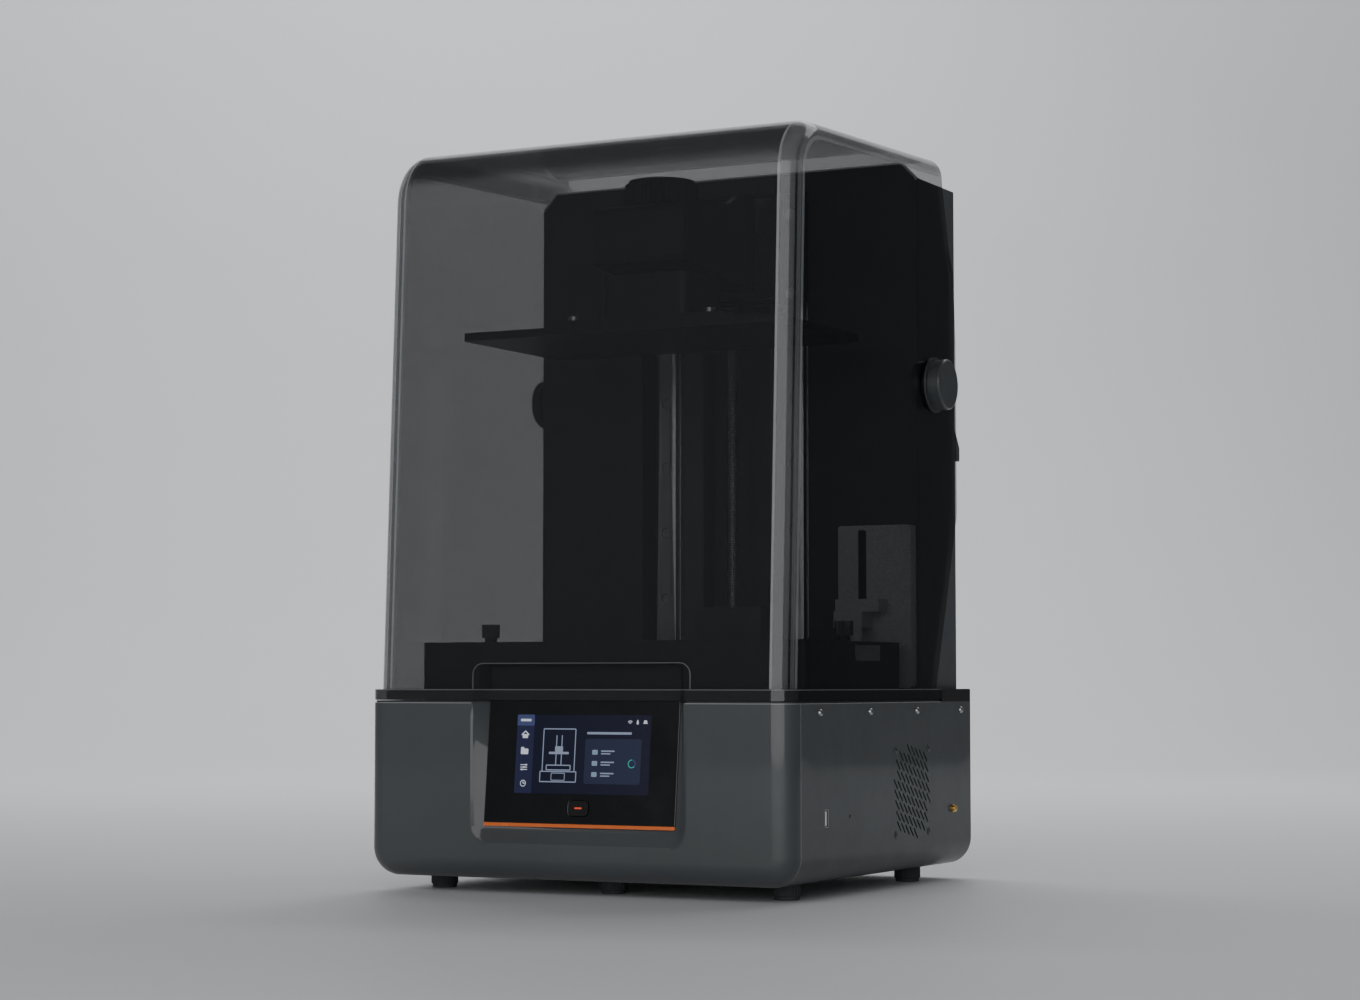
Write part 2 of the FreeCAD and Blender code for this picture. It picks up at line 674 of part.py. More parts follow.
def make_vat():
    outer = prism(rectangle(-VAT_HALF_X, VAT_HALF_X, VAT_FRONT, VAT_REAR, 6), "xy",
                  DECK_TOP + 0.3, VAT_TOP)
    basin = prism(rectangle(-160, 160, -122, 62, 8), "xy", FILM_Z, VAT_TOP + 1)
    pocket = prism(rectangle(-166.3, 166.3, -125.3, 63.3), "xy", DECK_TOP - 1, FILM_Z)
    vat = outer.cut(basin).cut(pocket)
    for side in (-1, 1):
        vat = vat.cut(rod(3.0 + RUN_GAP, side * THUMB_X, CENTRE_Y, 150, (0, 0, 1), 70))
    save("vat_body", vat)
    save("vat_film", box(-166, 166, -125, 63, FILM_Z - FILM_T, FILM_Z))
    frame = box(-166, 166, -125, 63, 160, FILM_Z - FILM_T)
    save("vat_film_frame", frame.cut(box(-158, 158, -121.5, 59.5, 150, 180)))


def knurled(radius, depth, teeth, low, high, x, y):
    points = []
    for i in range(2 * teeth):
        r = radius if i % 2 else radius - depth
        a = math.pi * i / teeth
        points.append((x + r * math.cos(a), y + r * math.sin(a)))
    return prism(points, "xy", low, high)


def make_thumb_screws():
    for side, name in ((-1, "thumb_screw_left"), (1, "thumb_screw_right")):
        x = side * THUMB_X
        head = knurled(8.0, 0.5, 26, 214, 226, x, CENTRE_Y)
        collar = rod(5.5, x, CENTRE_Y, VAT_TOP + 0.3, (0, 0, 1), 6)
        shank = rod(3.0, x, CENTRE_Y, 152, (0, 0, 1), 62)
        save(name, head.fuse(collar).fuse(shank))


# ======== tower ========

def tower_outline(half, low, top):
    return [(-half, low), (half, low), (half, top - 14), (half - 14, top), (-half + 14, top),
            (-half, top - 14)]


def make_tower_front_plate():
    plate = prism(tower_outline(TOWER_HALF, DECK_TOP, PLATE_TOP), "xz", PLATE_Y, PLATE_Y + PLATE_T)
    window = prism(rectangle(-WINDOW_HALF, WINDOW_HALF, WINDOW_LOW, WINDOW_TOP, 4), "xz", 80, 100)
    save("tower_front_plate", plate.cut(window))


def make_tower_rear_cover():
    y0 = PLATE_Y + PLATE_T
    outer = prism([(-TOWER_HALF, y0), (TOWER_HALF, y0), (TOWER_HALF, COVER_REAR, 4),
                   (-TOWER_HALF, COVER_REAR, 4)], "xy", DECK_TOP, COVER_TOP)
    inner = prism([(-TOWER_HALF + SHEET, y0 - 1), (TOWER_HALF - SHEET, y0 - 1),
                   (TOWER_HALF - SHEET, COVER_REAR - SHEET, 2),
                   (-TOWER_HALF + SHEET, COVER_REAR - SHEET, 2)], "xy", DECK_TOP - 1, COVER_TOP - SHEET)
    cover = outer.cut(inner)
    cover = cover.cut(rod(PIN_R + 0.1, -200, PIVOT_Y, PIVOT_Z, (1, 0, 0), 400))
    slots = []
    for i in range(-9, 10):
        slots.append(prism(rectangle(i * 12.0 - 2.5, i * 12.0 + 2.5, 470, 560, 2.4), "xz", 165, 190))
    save("tower_rear_cover", cover.cut(Part.makeCompound(slots)))


def make_tower_column():
    column = box(-80, 80, COLUMN_Y, 150, DECK_TOP, 612)
    column = column.cut(box(-GROOVE_HALF, GROOVE_HALF, COLUMN_Y - 1, 138, DECK_TOP - 1, 620))
    for side in (-1, 1):
        column = column.cut(box(min(side * 42, side * 74), max(side * 42, side * 74), 128, 152, 180, 600))
    save("tower_column", column)


def hole_heights():
    return [HOLE_FIRST + i * HOLE_PITCH for i in range(6)]


def make_rails():
    rail = box(RAIL_X - RAIL_W / 2, RAIL_X + RAIL_W / 2, RAIL_FRONT, COLUMN_Y, RAIL_LOW, RAIL_TOP)
    rail = rail.cut(box(RAIL_X - RAIL_W / 2 - 1, RAIL_X - RAIL_W / 2 + 2, 105, 110, 200, 640))
    rail = rail.cut(box(RAIL_X + RAIL_W / 2 - 2, RAIL_X + RAIL_W / 2 + 1, 105, 110, 200, 640))
    screws = []
    for z in hole_heights():
        rail = rail.cut(rod(4.8, RAIL_X, RAIL_FRONT - 1, z, (0, 1, 0), 7))
        rail = rail.cut(rod(2.6, RAIL_X, RAIL_FRONT, z, (0, 1, 0), 20))
        head = rod(4.4, RAIL_X, RAIL_FRONT + 1.2, z, (0, 1, 0), 4.8)
        head = head.cut(rod(2.0, RAIL_X, RAIL_FRONT + 1, z, (0, 1, 0), 2.6))
        screws.append(head.fuse(rod(2.5, RAIL_X, RAIL_FRONT + 5, z, (0, 1, 0), 11)))
    save("linear_rails", both_sides(rail))
    save("rail_screws", both_sides(Part.makeCompound(screws)))


def make_screw_bearings():
    block = box(-33, 33, 97, 137, DECK_TOP, LOWER_BLOCK_TOP)
    block = block.cut(rod(SCREW_R + RUN_GAP, 0, SCREW_Y, 150, (0, 0, 1), 120))
    block = block.cut(box(-34, 34, 96, 100, 200, 206))
    save("lower_bearing_block", block)
    top = box(-33, 33, 96, 137, 600, 612)
    save("upper_bearing_block", top.cut(rod(SCREW_R + RUN_GAP, 0, SCREW_Y, 590, (0, 0, 1), 30)))


def make_z_motor():
    body = prism(rectangle(-28, 28, SCREW_Y - 28, SCREW_Y + 28, 6), "xy", 88, 148)
    flange = prism(rectangle(-28, 28, SCREW_Y - 28, SCREW_Y + 28, 3), "xy", 148, DECK_LOW)
    motor = body.fuse(flange).cut(rod(SCREW_R + RUN_GAP, 0, SCREW_Y, 110, (0, 0, 1), 60))
    save("z_motor", motor)


def make_lead_screw():
    screw_rod = rod(SCREW_R, 0, SCREW_Y, 112, (0, 0, 1), 498)
    save("lead_screw", screw_rod)


def make_limit_switch():
    body = box(36, 45.5, 104, 115.9, 246, 266)
    lever = box(38, 42, 98, 104.5, 262, 263)
    save("limit_switch", body.fuse(lever))


def make_rear_grip():
    """Ledge across the back of the tower, used as a hand hold."""
    back = HALF_D - 0.5
    section = [(COVER_REAR, 401), (back, 387), (back, 374), (COVER_REAR, 374)]
    save("rear_grip", prism(section, "yz", -TOWER_HALF + 0.5, TOWER_HALF - 0.5))


def make_hinge_pins():
    pin = rod(PIN_R, 178, PIVOT_Y, PIVOT_Z, (1, 0, 0), 22.5)
    plate = rod(17, 182, PIVOT_Y, PIVOT_Z, (1, 0, 0), 4.5).common(box(180, 190, PIVOT_Y - 16, PIVOT_Y + 20, 400, 470))
    save("hinge_pins", both_sides(pin.fuse(plate)))


# ======== Z carriage and platform ========

def make_carriage():
    blocks = []
    for low in (514.0, 562.0):
        block = box(RAIL_X - 18, RAIL_X + 18, 84, 112, low, low + 46)
        block = block.cut(box(RAIL_X - RAIL_W / 2 - 0.35, RAIL_X + RAIL_W / 2 + 0.35,
                              RAIL_FRONT - 0.35, 120, low - 1, low + 50))
        blocks.append(block)
    save("carriage_blocks", both_sides(Part.makeCompound(blocks)))
    plate = prism(rectangle(-84, 84, 512, 610, 6), "xz", 74, 84)
    holes = [rod(ARM_BOLT_R, x, 70, z, (0, 1, 0), 30) for x, z in arm_bolt_places()]
    save("carriage_plate", plate.cut(Part.makeCompound(holes)))


def make_lead_nut():
    nut = box(-24, 24, 84, 96, 548, 576)
    nut = nut.fuse(rod(15, 0, SCREW_Y, 548, (0, 0, 1), 28)).fuse(box(-15, 15, 90, SCREW_Y, 548, 576))
    save("lead_nut", nut.cut(rod(SCREW_R + RUN_GAP, 0, SCREW_Y, 540, (0, 0, 1), 50)))


def make_z_arm():
    root = prism(rectangle(-69, 69, 516, 606, 6), "xz", 64, 74)
    beam = prism([(-75, 534, 8), (64, 524), (64, 600), (-75, 584, 8)], "yz", -44, 44)
    hollow = prism([(-2, 540), (62, 534), (62, 592), (-2, 582)], "yz", -38, 38)
    arm = root.fuse(beam).cut(hollow.cut(box(-4, 4, -10, 70, 500, 620)))
    arm = arm.cut(rod(8.0, 0, CENTRE_Y, 500, (0, 0, 1), 120))
    arm = arm.cut(rod(KNOB_R + 3, 0, CENTRE_Y, 584.5, (0, 0, 1), 40))
    gusset = prism([(10, 592.5), (64, 600), (64, 606), (30, 604)], "yz", -44, -38)
    arm = arm.fuse(gusset).fuse(mirrored(gusset))
    save("z_arm", arm)


def arm_bolt_places():
    """Bolts beside the root of the arm, through the carriage plate, as (x, z)."""
    return [(x, z) for x in (-76.0, 76.0) for z in (520.0, 591.0)]


def level_bolt_places():
    """Levelling bolts of the platform, as (x, y)."""
    return [(x, y) for x in (-66.0, 66.0) for y in (CENTRE_Y - 38, CENTRE_Y + 38)]


def make_platform():
    y = CENTRE_Y
    x0 = PLATE_HALF_X
    slab = prism(rectangle(-x0, x0, y - PLATE_HALF_Y, y + PLATE_HALF_Y, 4), "xy",
                 SLAB_LOW, SLAB_LOW + SLAB_T)
    hub = prism([(-96, SLAB_LOW + SLAB_T - 0.5), (96, SLAB_LOW + SLAB_T - 0.5), (84, MOUNT_LOW),
                 (-84, MOUNT_LOW)],
                "xz", y - 50, y + 50)
    holes = [rod(LEVEL_BOLT_R, x, hole_y, MOUNT_LOW - LEVEL_BOLT_LEN, (0, 0, 1), 30)
             for x, hole_y in level_bolt_places()]
    save("build_plate", slab.fuse(hub).cut(Part.makeCompound(holes)))
    block = prism(rectangle(-42, 42, y - 34, y + 34, 8), "xy", MOUNT_LOW, 526)
    stud = rod(STUD_R, 0, y, 525, (0, 0, 1), 78)
    save("platform_mount", block.fuse(stud))
    knob = knurled(KNOB_R, 1.2, 44, 585, KNOB_TOP - 3, 0, y)
    knob = knob.fuse(rod(KNOB_R - 3, 0, y, KNOB_TOP - 3, (0, 0, 1), 3))
    save("platform_knob", knob.cut(rod(STUD_R + RUN_GAP, 0, y, 580, (0, 0, 1), 24)))


def make_arm_screws():
    """Bolts through the arm's root and the levelling bolts of the platform."""
    bolts = [screw(x, 74, z, (0, -1, 0), 5.0, 5.0, ARM_BOLT_R, 9.9) for x, z in arm_bolt_places()]
    bolts += [screw(x, y, MOUNT_LOW, (0, 0, 1), 5.0, 5.0, LEVEL_BOLT_R, LEVEL_BOLT_LEN)
              for x, y in level_bolt_places()]
    save("arm_screws", Part.makeCompound(bolts))


# ======== resin feed ========

def make_feed_module():
    housing = prism(rectangle(118, 187, 170, 312, 3), "xz", 78, PLATE_Y)
    housing = housing.cut(prism(rectangle(120, 185, 172, 310, 2), "xz", 80, PLATE_Y + 1))
    housing = housing.cut(prism(rectangle(137, 145, 234, 308, 2), "xz", 70, 85))
    save("feed_module", housing)
    plate = box(124, 165, 58, 77.6, 236, 247)
    block = box(124, 151, 54.6, 77.6, 222, 236.5)
    leg = prism(rectangle(140, 150, 55.2, 60.2, 2.4), "xy", 176, 224)
    slider = box(138.2, 143.8, 77, 86, 238, 246)
    foot = box(134, 148, 82, 87, 237, 247)
    save("feed_arm", plate.fuse(block).fuse(leg).fuse(slider).fuse(foot))


# ======== hood ========

def hood_form(inset):
    """Hood drawn in by inset, long to the rear and the foot, with its side edges rounded."""
    low = FLANGE_LOW - 20
    x = HOOD_HALF - inset
    far = 240.0

    def front(z):
        return HOOD_FRONT + HOOD_LEAN * (z - FLANGE_TOP) + inset

    def roof(y):
        return ROOF_AT_0 + ROOF_SLOPE * y - inset

    nose_z = roof(front(640))
    side = [(front(low), low), (front(nose_z), nose_z, NOSE_R - inset), (far, roof(far)), (far, low)]
    block = prism(side, "yz", -x, x)
    edges = []
    for edge in block.Edges:
        middle = edge.valueAt((edge.FirstParameter + edge.LastParameter) / 2)
        along_side = abs(abs(middle.x) - x) < 0.01
        if along_side and middle.y < far - 1 and middle.z > low + 1:
            edges.append(edge)
    return block.makeFillet(HOOD_R - inset, edges)


def hood_rear_cut():
    """Outline of the hood's side walls: what lies behind it is open."""
    roof = ROOF_AT_0 + ROOF_SLOPE * ROOF_REAR
    return prism([(-200, FLANGE_TOP), (-200, 700), (ROOF_REAR, 700), (ROOF_REAR, roof), (141, 616),
                  (156, 562, 10), (166, 540, 20), (170, 480), (171, 325, 30), (FLANGE_REAR, FLANGE_TOP)],
                 "yz", -HALF_W, HALF_W)


def make_hood_shell():
    outer = hood_form(0).common(hood_rear_cut())
    inner = hood_form(HOOD_T)
    flange = prism(deck_outline(FLANGE_REAR, 0), "xy", FLANGE_LOW, FLANGE_TOP)
    shell = outer.fuse(flange).cut(inner)
    lining_room = outer.fuse(flange).fuse(box(-120, 120, -184, -160, FLANGE_LOW, 200))
    shell = shell.fuse(notch_lining().common(lining_room)).cut(notch_void())
    shell = shell.cut(rod(PIN_R + RUN_GAP, -220, PIVOT_Y, PIVOT_Z, (1, 0, 0), 440))
    save("hood_shell", shell)


def make_hinge_caps():
    ring = rod(CAP_RING_R, HOOD_HALF, PIVOT_Y, PIVOT_Z, (1, 0, 0), 1.5)
    waist = rod(CAP_R - 2.5, HOOD_HALF, PIVOT_Y, PIVOT_Z, (1, 0, 0), 6.0)
    disc = rod(CAP_R, HOOD_HALF + 5.0, PIVOT_Y, PIVOT_Z, (1, 0, 0), CAP_X - HOOD_HALF - 5.0)
    rims = [edge for edge in disc.Edges if edge.BoundBox.XMin > CAP_X - 0.1]
    disc = disc.makeFillet(2.4, rims)
    cap = ring.fuse(waist).fuse(disc)
    cap = cap.cut(rod(PIN_R + RUN_GAP, HOOD_HALF - 3, PIVOT_Y, PIVOT_Z, (1, 0, 0), 11))
    save("hinge_cap_right", cap)
    save("hinge_cap_left", mirrored(cap))


make_base_tray()
make_front_fascia()
make_rear_panel()
make_deck_plate()
make_deck_rim()
make_hood_seal()
make_case_screws()
make_rubber_feet()
make_touch_glass()
make_display_module()
make_accent_strip()
make_power_button()
make_usb_port()
make_antenna_connector()
make_power_inlet()
make_switch_housing()
make_rocker()
make_fans()
make_light_engine()
make_screen()
make_electronics()
make_vat()
make_thumb_screws()
make_tower_front_plate()
make_tower_rear_cover()
make_tower_column()
make_rails()
make_screw_bearings()
make_z_motor()
make_lead_screw()
make_limit_switch()
make_rear_grip()
make_hinge_pins()
make_carriage()
make_lead_nut()
make_z_arm()
make_platform()
make_arm_screws()
make_feed_module()
make_hood_shell()
make_hinge_caps()
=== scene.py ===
import json
import math

import bmesh
import bpy
from mathutils import Matrix, Vector


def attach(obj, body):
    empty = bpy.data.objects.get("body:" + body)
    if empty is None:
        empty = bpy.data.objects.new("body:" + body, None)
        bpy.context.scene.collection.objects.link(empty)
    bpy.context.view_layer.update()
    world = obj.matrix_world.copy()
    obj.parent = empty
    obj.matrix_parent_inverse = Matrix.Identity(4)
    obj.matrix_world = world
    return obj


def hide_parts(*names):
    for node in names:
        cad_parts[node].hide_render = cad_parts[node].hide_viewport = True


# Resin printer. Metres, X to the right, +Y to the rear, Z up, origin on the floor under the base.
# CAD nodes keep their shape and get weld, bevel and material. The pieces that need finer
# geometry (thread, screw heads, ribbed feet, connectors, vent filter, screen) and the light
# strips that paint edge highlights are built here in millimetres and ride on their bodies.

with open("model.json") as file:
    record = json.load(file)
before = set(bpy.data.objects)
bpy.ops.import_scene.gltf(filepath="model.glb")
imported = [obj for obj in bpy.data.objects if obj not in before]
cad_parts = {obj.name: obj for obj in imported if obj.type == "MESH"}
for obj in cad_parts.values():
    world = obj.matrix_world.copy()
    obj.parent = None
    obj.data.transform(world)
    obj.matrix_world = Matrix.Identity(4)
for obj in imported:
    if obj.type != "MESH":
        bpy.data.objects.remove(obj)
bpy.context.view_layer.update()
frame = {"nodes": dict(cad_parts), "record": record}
NODES = frame["nodes"]
MM = 0.001

# Places on the CAD model that the finer pieces are fitted to, in millimetres.
HALF_W = 198.0
HALF_D = 190.0
CORNER_R = 18.0         # upright front corners of the base
BOTTOM_R = 24.0         # long lower edges of the base
BASE_LOW = 13.0
WALL_TOP = 158.0
WALL_REAR = 118.0       # where the front part of the walls ends
JOINT_Y = -172.0        # joint between fascia and tray
PANEL_X = 5.0
PANEL_Y = -185.0
PANEL_LOW = 59.5
PANEL_LEAN = -5.7       # degrees
GLASS_FACE = -2.01      # front of the touch glass in the panel's frame
RECESS_HALF = 99.5      # half width of the recess at the wall top
DECK_SCREW_YS = (-136.0, -36.0, 64.0, 164.0)
DECK_SCREW_Z = 150.5
FAN_Y = 53.0
FAN_Z = 82.0
FAN_BOSS = 35.75        # from the middle of the side fan to each screw, both ways
FOOT_PLACES = [(x, y) for x in (-162.0, 3.0, 162.0) for y in (-122.0, 126.0)]
USB_Z = 66.0
USB_TONGUE_YS = (-126.2, -123.5)
ANTENNA_Y = 144.0
ANTENNA_Z = 64.0
VAT_SIDE = 183.0
VAT_PLATE_Y = -6.5
VAT_PLATE_Z = 199.5
SCREW_Y = 108.0         # axis of the lead screw
SCREW_LOW = 112.0
SCREW_TOP = 610.0
THREAD_LOW = 160.0
THREAD_HIGH = 606.0
ARM_BOLT_X = 76.0
ARM_BOLT_Y = 74.0
ARM_BOLT_ZS = (520.0, 591.0)
LEVEL_BOLT_X = 66.0
LEVEL_BOLT_YS = (-69.0, 7.0)
LEVEL_BOLT_Z = 487.0
PLATFORM_Y = -31.0
PLATFORM_LOW = 470.0
HOOD_FRONT = -184.9     # front face of the hood at its foot
NOTCH_LOW = 169.0
NOTCH_TOP = 190.0
NOTCH_HALF = 101.0
NOTCH_R = 9.0
TOWER_FACE = 89.8
TOWER_HALF = 189.2
TOWER_TOP = 632.5
TOWER_CUT = 14.0        # cut corners of the tower's front plate
VENT_FOAM = 175.4       # front of the foam sheet behind the tower vent
VENT_LOW = 464.0
VENT_HIGH = 566.0
VENT_HALF = 116.0
SCREEN = (-61.5, 63.5, 24.5, 89.0)      # lit area in the panel's frame: left, right, low, high
ASPECT = (SCREEN[3] - SCREEN[2]) / (SCREEN[1] - SCREEN[0])
SCREEN_GLOW = 0.62
SCREEN_LAYER = 0.02     # from one layer of shapes on the screen to the next
CARD_ROWS = (0.53, 0.39, 0.25)          # heights of the card's rows, as fractions of the screen
CARD_RING = (0.87, 0.39, 0.055, 0.042)  # middle of the progress ring, its outer and inner radius


# ======== material nodes ========

class Graph:
    """Short-hand for building one material's node tree."""

    def __init__(self, name):
        self.material = bpy.data.materials.new(name)
        self.material.use_nodes = True
        self.tree = self.material.node_tree
        self.shader = self.tree.nodes["Principled BSDF"]
        self.coords = self.add("ShaderNodeTexCoord").outputs["Object"]

    def add(self, kind, **values):
        node = self.tree.nodes.new(kind)
        for key, value in values.items():
            setattr(node, key, value)
        return node

    def link(self, source, target):
        self.tree.links.new(source, target)

    def set(self, **values):
        for key, value in values.items():
            self.shader.inputs[key.replace("_", " ")].default_value = value

    def noise(self, scale, detail=3.0, rough=0.55, stretch=(1, 1, 1)):
        place = self.add("ShaderNodeMapping")
        place.inputs["Scale"].default_value = stretch
        self.link(self.coords, place.inputs["Vector"])
        node = self.add("ShaderNodeTexNoise")
        node.inputs["Scale"].default_value = scale
        node.inputs["Detail"].default_value = detail
        node.inputs["Roughness"].default_value = rough
        self.link(place.outputs["Vector"], node.inputs["Vector"])
        return node.outputs["Fac"]

    def cells(self, scale, feature="F1"):
        node = self.add("ShaderNodeTexVoronoi", feature=feature)
        node.inputs["Scale"].default_value = scale
        self.link(self.coords, node.inputs["Vector"])
        return node.outputs["Distance"]

    def remap(self, value, low, high, out_low, out_high):
        node = self.add("ShaderNodeMapRange")
        for key, number in (("From Min", low), ("From Max", high), ("To Min", out_low),
                            ("To Max", out_high)):
            node.inputs[key].default_value = number
        self.link(value, node.inputs["Value"])
        return node.outputs["Result"]

    def blend(self, value, first, second):
        node = self.add("ShaderNodeMix", data_type="RGBA")
        node.inputs["A"].default_value = (*first, 1)
        node.inputs["B"].default_value = (*second, 1)
        self.link(value, node.inputs["Factor"])
        return node.outputs["Result"]

    def blend_over(self, value, under, second):
        node = self.add("ShaderNodeMix", data_type="RGBA")
        self.link(under, node.inputs["A"])
        node.inputs["B"].default_value = (*second, 1)
        self.link(value, node.inputs["Factor"])
        return node.outputs["Result"]

    def product(self, first, second):
        """Size of the product of two values."""
        times = self.add("ShaderNodeMath", operation="MULTIPLY")
        self.link(first, times.inputs[0])
        self.link(second, times.inputs[1])
        size = self.add("ShaderNodeMath", operation="ABSOLUTE")
        self.link(times.outputs[0], size.inputs[0])
        return size.outputs[0]

    def within(self, value, low, high):
        """1 while the value lies between low and high, else 0."""
        above = self.add("ShaderNodeMath", operation="GREATER_THAN")
        self.link(value, above.inputs[0])
        above.inputs[1].default_value = low
        below = self.add("ShaderNodeMath", operation="LESS_THAN")
        self.link(value, below.inputs[0])
        below.inputs[1].default_value = high
        return self.product(above.outputs[0], below.outputs[0])

    def largest(self, *values):
        best = values[0]
        for value in values[1:]:
            node = self.add("ShaderNodeMath", operation="MAXIMUM")
            self.link(best, node.inputs[0])
            self.link(value, node.inputs[1])
            best = node.outputs[0]
        return best

    def bump(self, height, strength, distance):
        node = self.add("ShaderNodeBump")
        node.inputs["Strength"].default_value = strength
        node.inputs["Distance"].default_value = distance
        self.link(height, node.inputs["Height"])
        self.link(node.outputs["Normal"], self.shader.inputs["Normal"])


def shade(color, factor):
    return tuple(channel * factor for channel in color)


def painted(name, color, rough=0.5, grain=2200.0, bump=0.12, wear=0.25, metallic=0.0, coat=0.0,
            shine=0.5):
    """Paint or moulded plastic: fine grain, faint clouding, lighter where edges rub."""
    g = Graph(name)
    g.set(Metallic=metallic, Coat_Weight=coat, Coat_Roughness=0.05, Specular_IOR_Level=shine)
    cloud = g.noise(9.0, 4.0)
    tone = g.blend(g.remap(cloud, 0.3, 0.7, 0.0, 1.0), shade(color, 0.93), shade(color, 1.07))
    edge = g.add("ShaderNodeNewGeometry").outputs["Pointiness"]
    rub = g.remap(edge, 0.53, 0.62, 0.0, wear)
    g.link(g.blend_over(rub, tone, shade(color, 1.9)), g.shader.inputs["Base Color"])
    smudge = g.noise(38.0, 5.0, 0.6)
    g.link(g.remap(smudge, 0.3, 0.7, rough - 0.05, rough + 0.06), g.shader.inputs["Roughness"])
    g.bump(g.noise(grain, 2.0), bump, 0.0002)
    return g.material


def metal(name, color, rough=0.3, stretch=(1, 1, 1), scale=3500.0, bump=0.05):
    """Bare metal with tool marks drawn out along one direction."""
    g = Graph(name)
    g.set(Metallic=1.0)
    marks = g.noise(scale, 3.0, 0.6, stretch)
    g.link(g.blend(g.remap(marks, 0.3, 0.7, 0.0, 1.0), shade(color, 0.96), shade(color, 1.03)),
           g.shader.inputs["Base Color"])
    g.link(g.remap(marks, 0.3, 0.7, rough - 0.03, rough + 0.04), g.shader.inputs["Roughness"])
    g.bump(marks, bump, 0.0001)
    return g.material


def anodised(name, color, rough=0.42):
    """Bead-blasted, black anodised aluminium."""
    g = Graph(name)
    g.set(Metallic=0.55)
    cloud = g.noise(14.0, 3.0)
    tone = g.blend(g.remap(cloud, 0.3, 0.7, 0.0, 1.0), shade(color, 0.9), shade(color, 1.1))
    edge = g.add("ShaderNodeNewGeometry").outputs["Pointiness"]
    g.link(g.blend_over(g.remap(edge, 0.54, 0.64, 0.0, 0.35), tone, (0.30, 0.31, 0.32)),
           g.shader.inputs["Base Color"])
    g.link(g.remap(g.noise(60.0, 4.0), 0.3, 0.7, rough - 0.05, rough + 0.07),
           g.shader.inputs["Roughness"])
    g.bump(g.noise(3200.0, 1.0), 0.10, 0.0001)
    return g.material


def speckled(name):
    """Textured grey plastic with fine light and dark specks."""
    g = Graph(name)
    base = g.blend(g.remap(g.noise(900.0, 1.0), 0.42, 0.62, 0.0, 1.0), (0.40, 0.41, 0.42),
                   (0.56, 0.57, 0.58))
    light = g.remap(g.cells(700.0), 0.16, 0.10, 0.0, 0.8)
    both = g.blend_over(light, base, (0.74, 0.75, 0.76))
    g.link(both, g.shader.inputs["Base Color"])
    g.link(g.remap(g.noise(80.0), 0.3, 0.7, 0.55, 0.7), g.shader.inputs["Roughness"])
    g.bump(g.noise(1500.0, 2.0), 0.35, 0.0002)
    return g.material


def rubber(name):
    g = Graph(name)
    g.link(g.blend(g.noise(60.0), (0.034, 0.036, 0.039), (0.050, 0.053, 0.056)),
           g.shader.inputs["Base Color"])
    g.link(g.remap(g.noise(300.0), 0.3, 0.7, 0.68, 0.82), g.shader.inputs["Roughness"])
    g.bump(g.noise(1800.0, 2.0), 0.25, 0.0002)
    return g.material


def black_glass(name):
    """Printed black cover glass with a faint wipe pattern in its gloss."""
    g = Graph(name)
    g.set(Coat_Weight=1.0, Coat_Roughness=0.03, IOR=1.5)
    g.link(g.blend(g.noise(5.0), (0.006, 0.0065, 0.007), (0.009, 0.0095, 0.0105)),
           g.shader.inputs["Base Color"])
    g.link(g.remap(g.noise(22.0, 5.0, 0.7), 0.35, 0.75, 0.10, 0.20), g.shader.inputs["Roughness"])
    return g.material


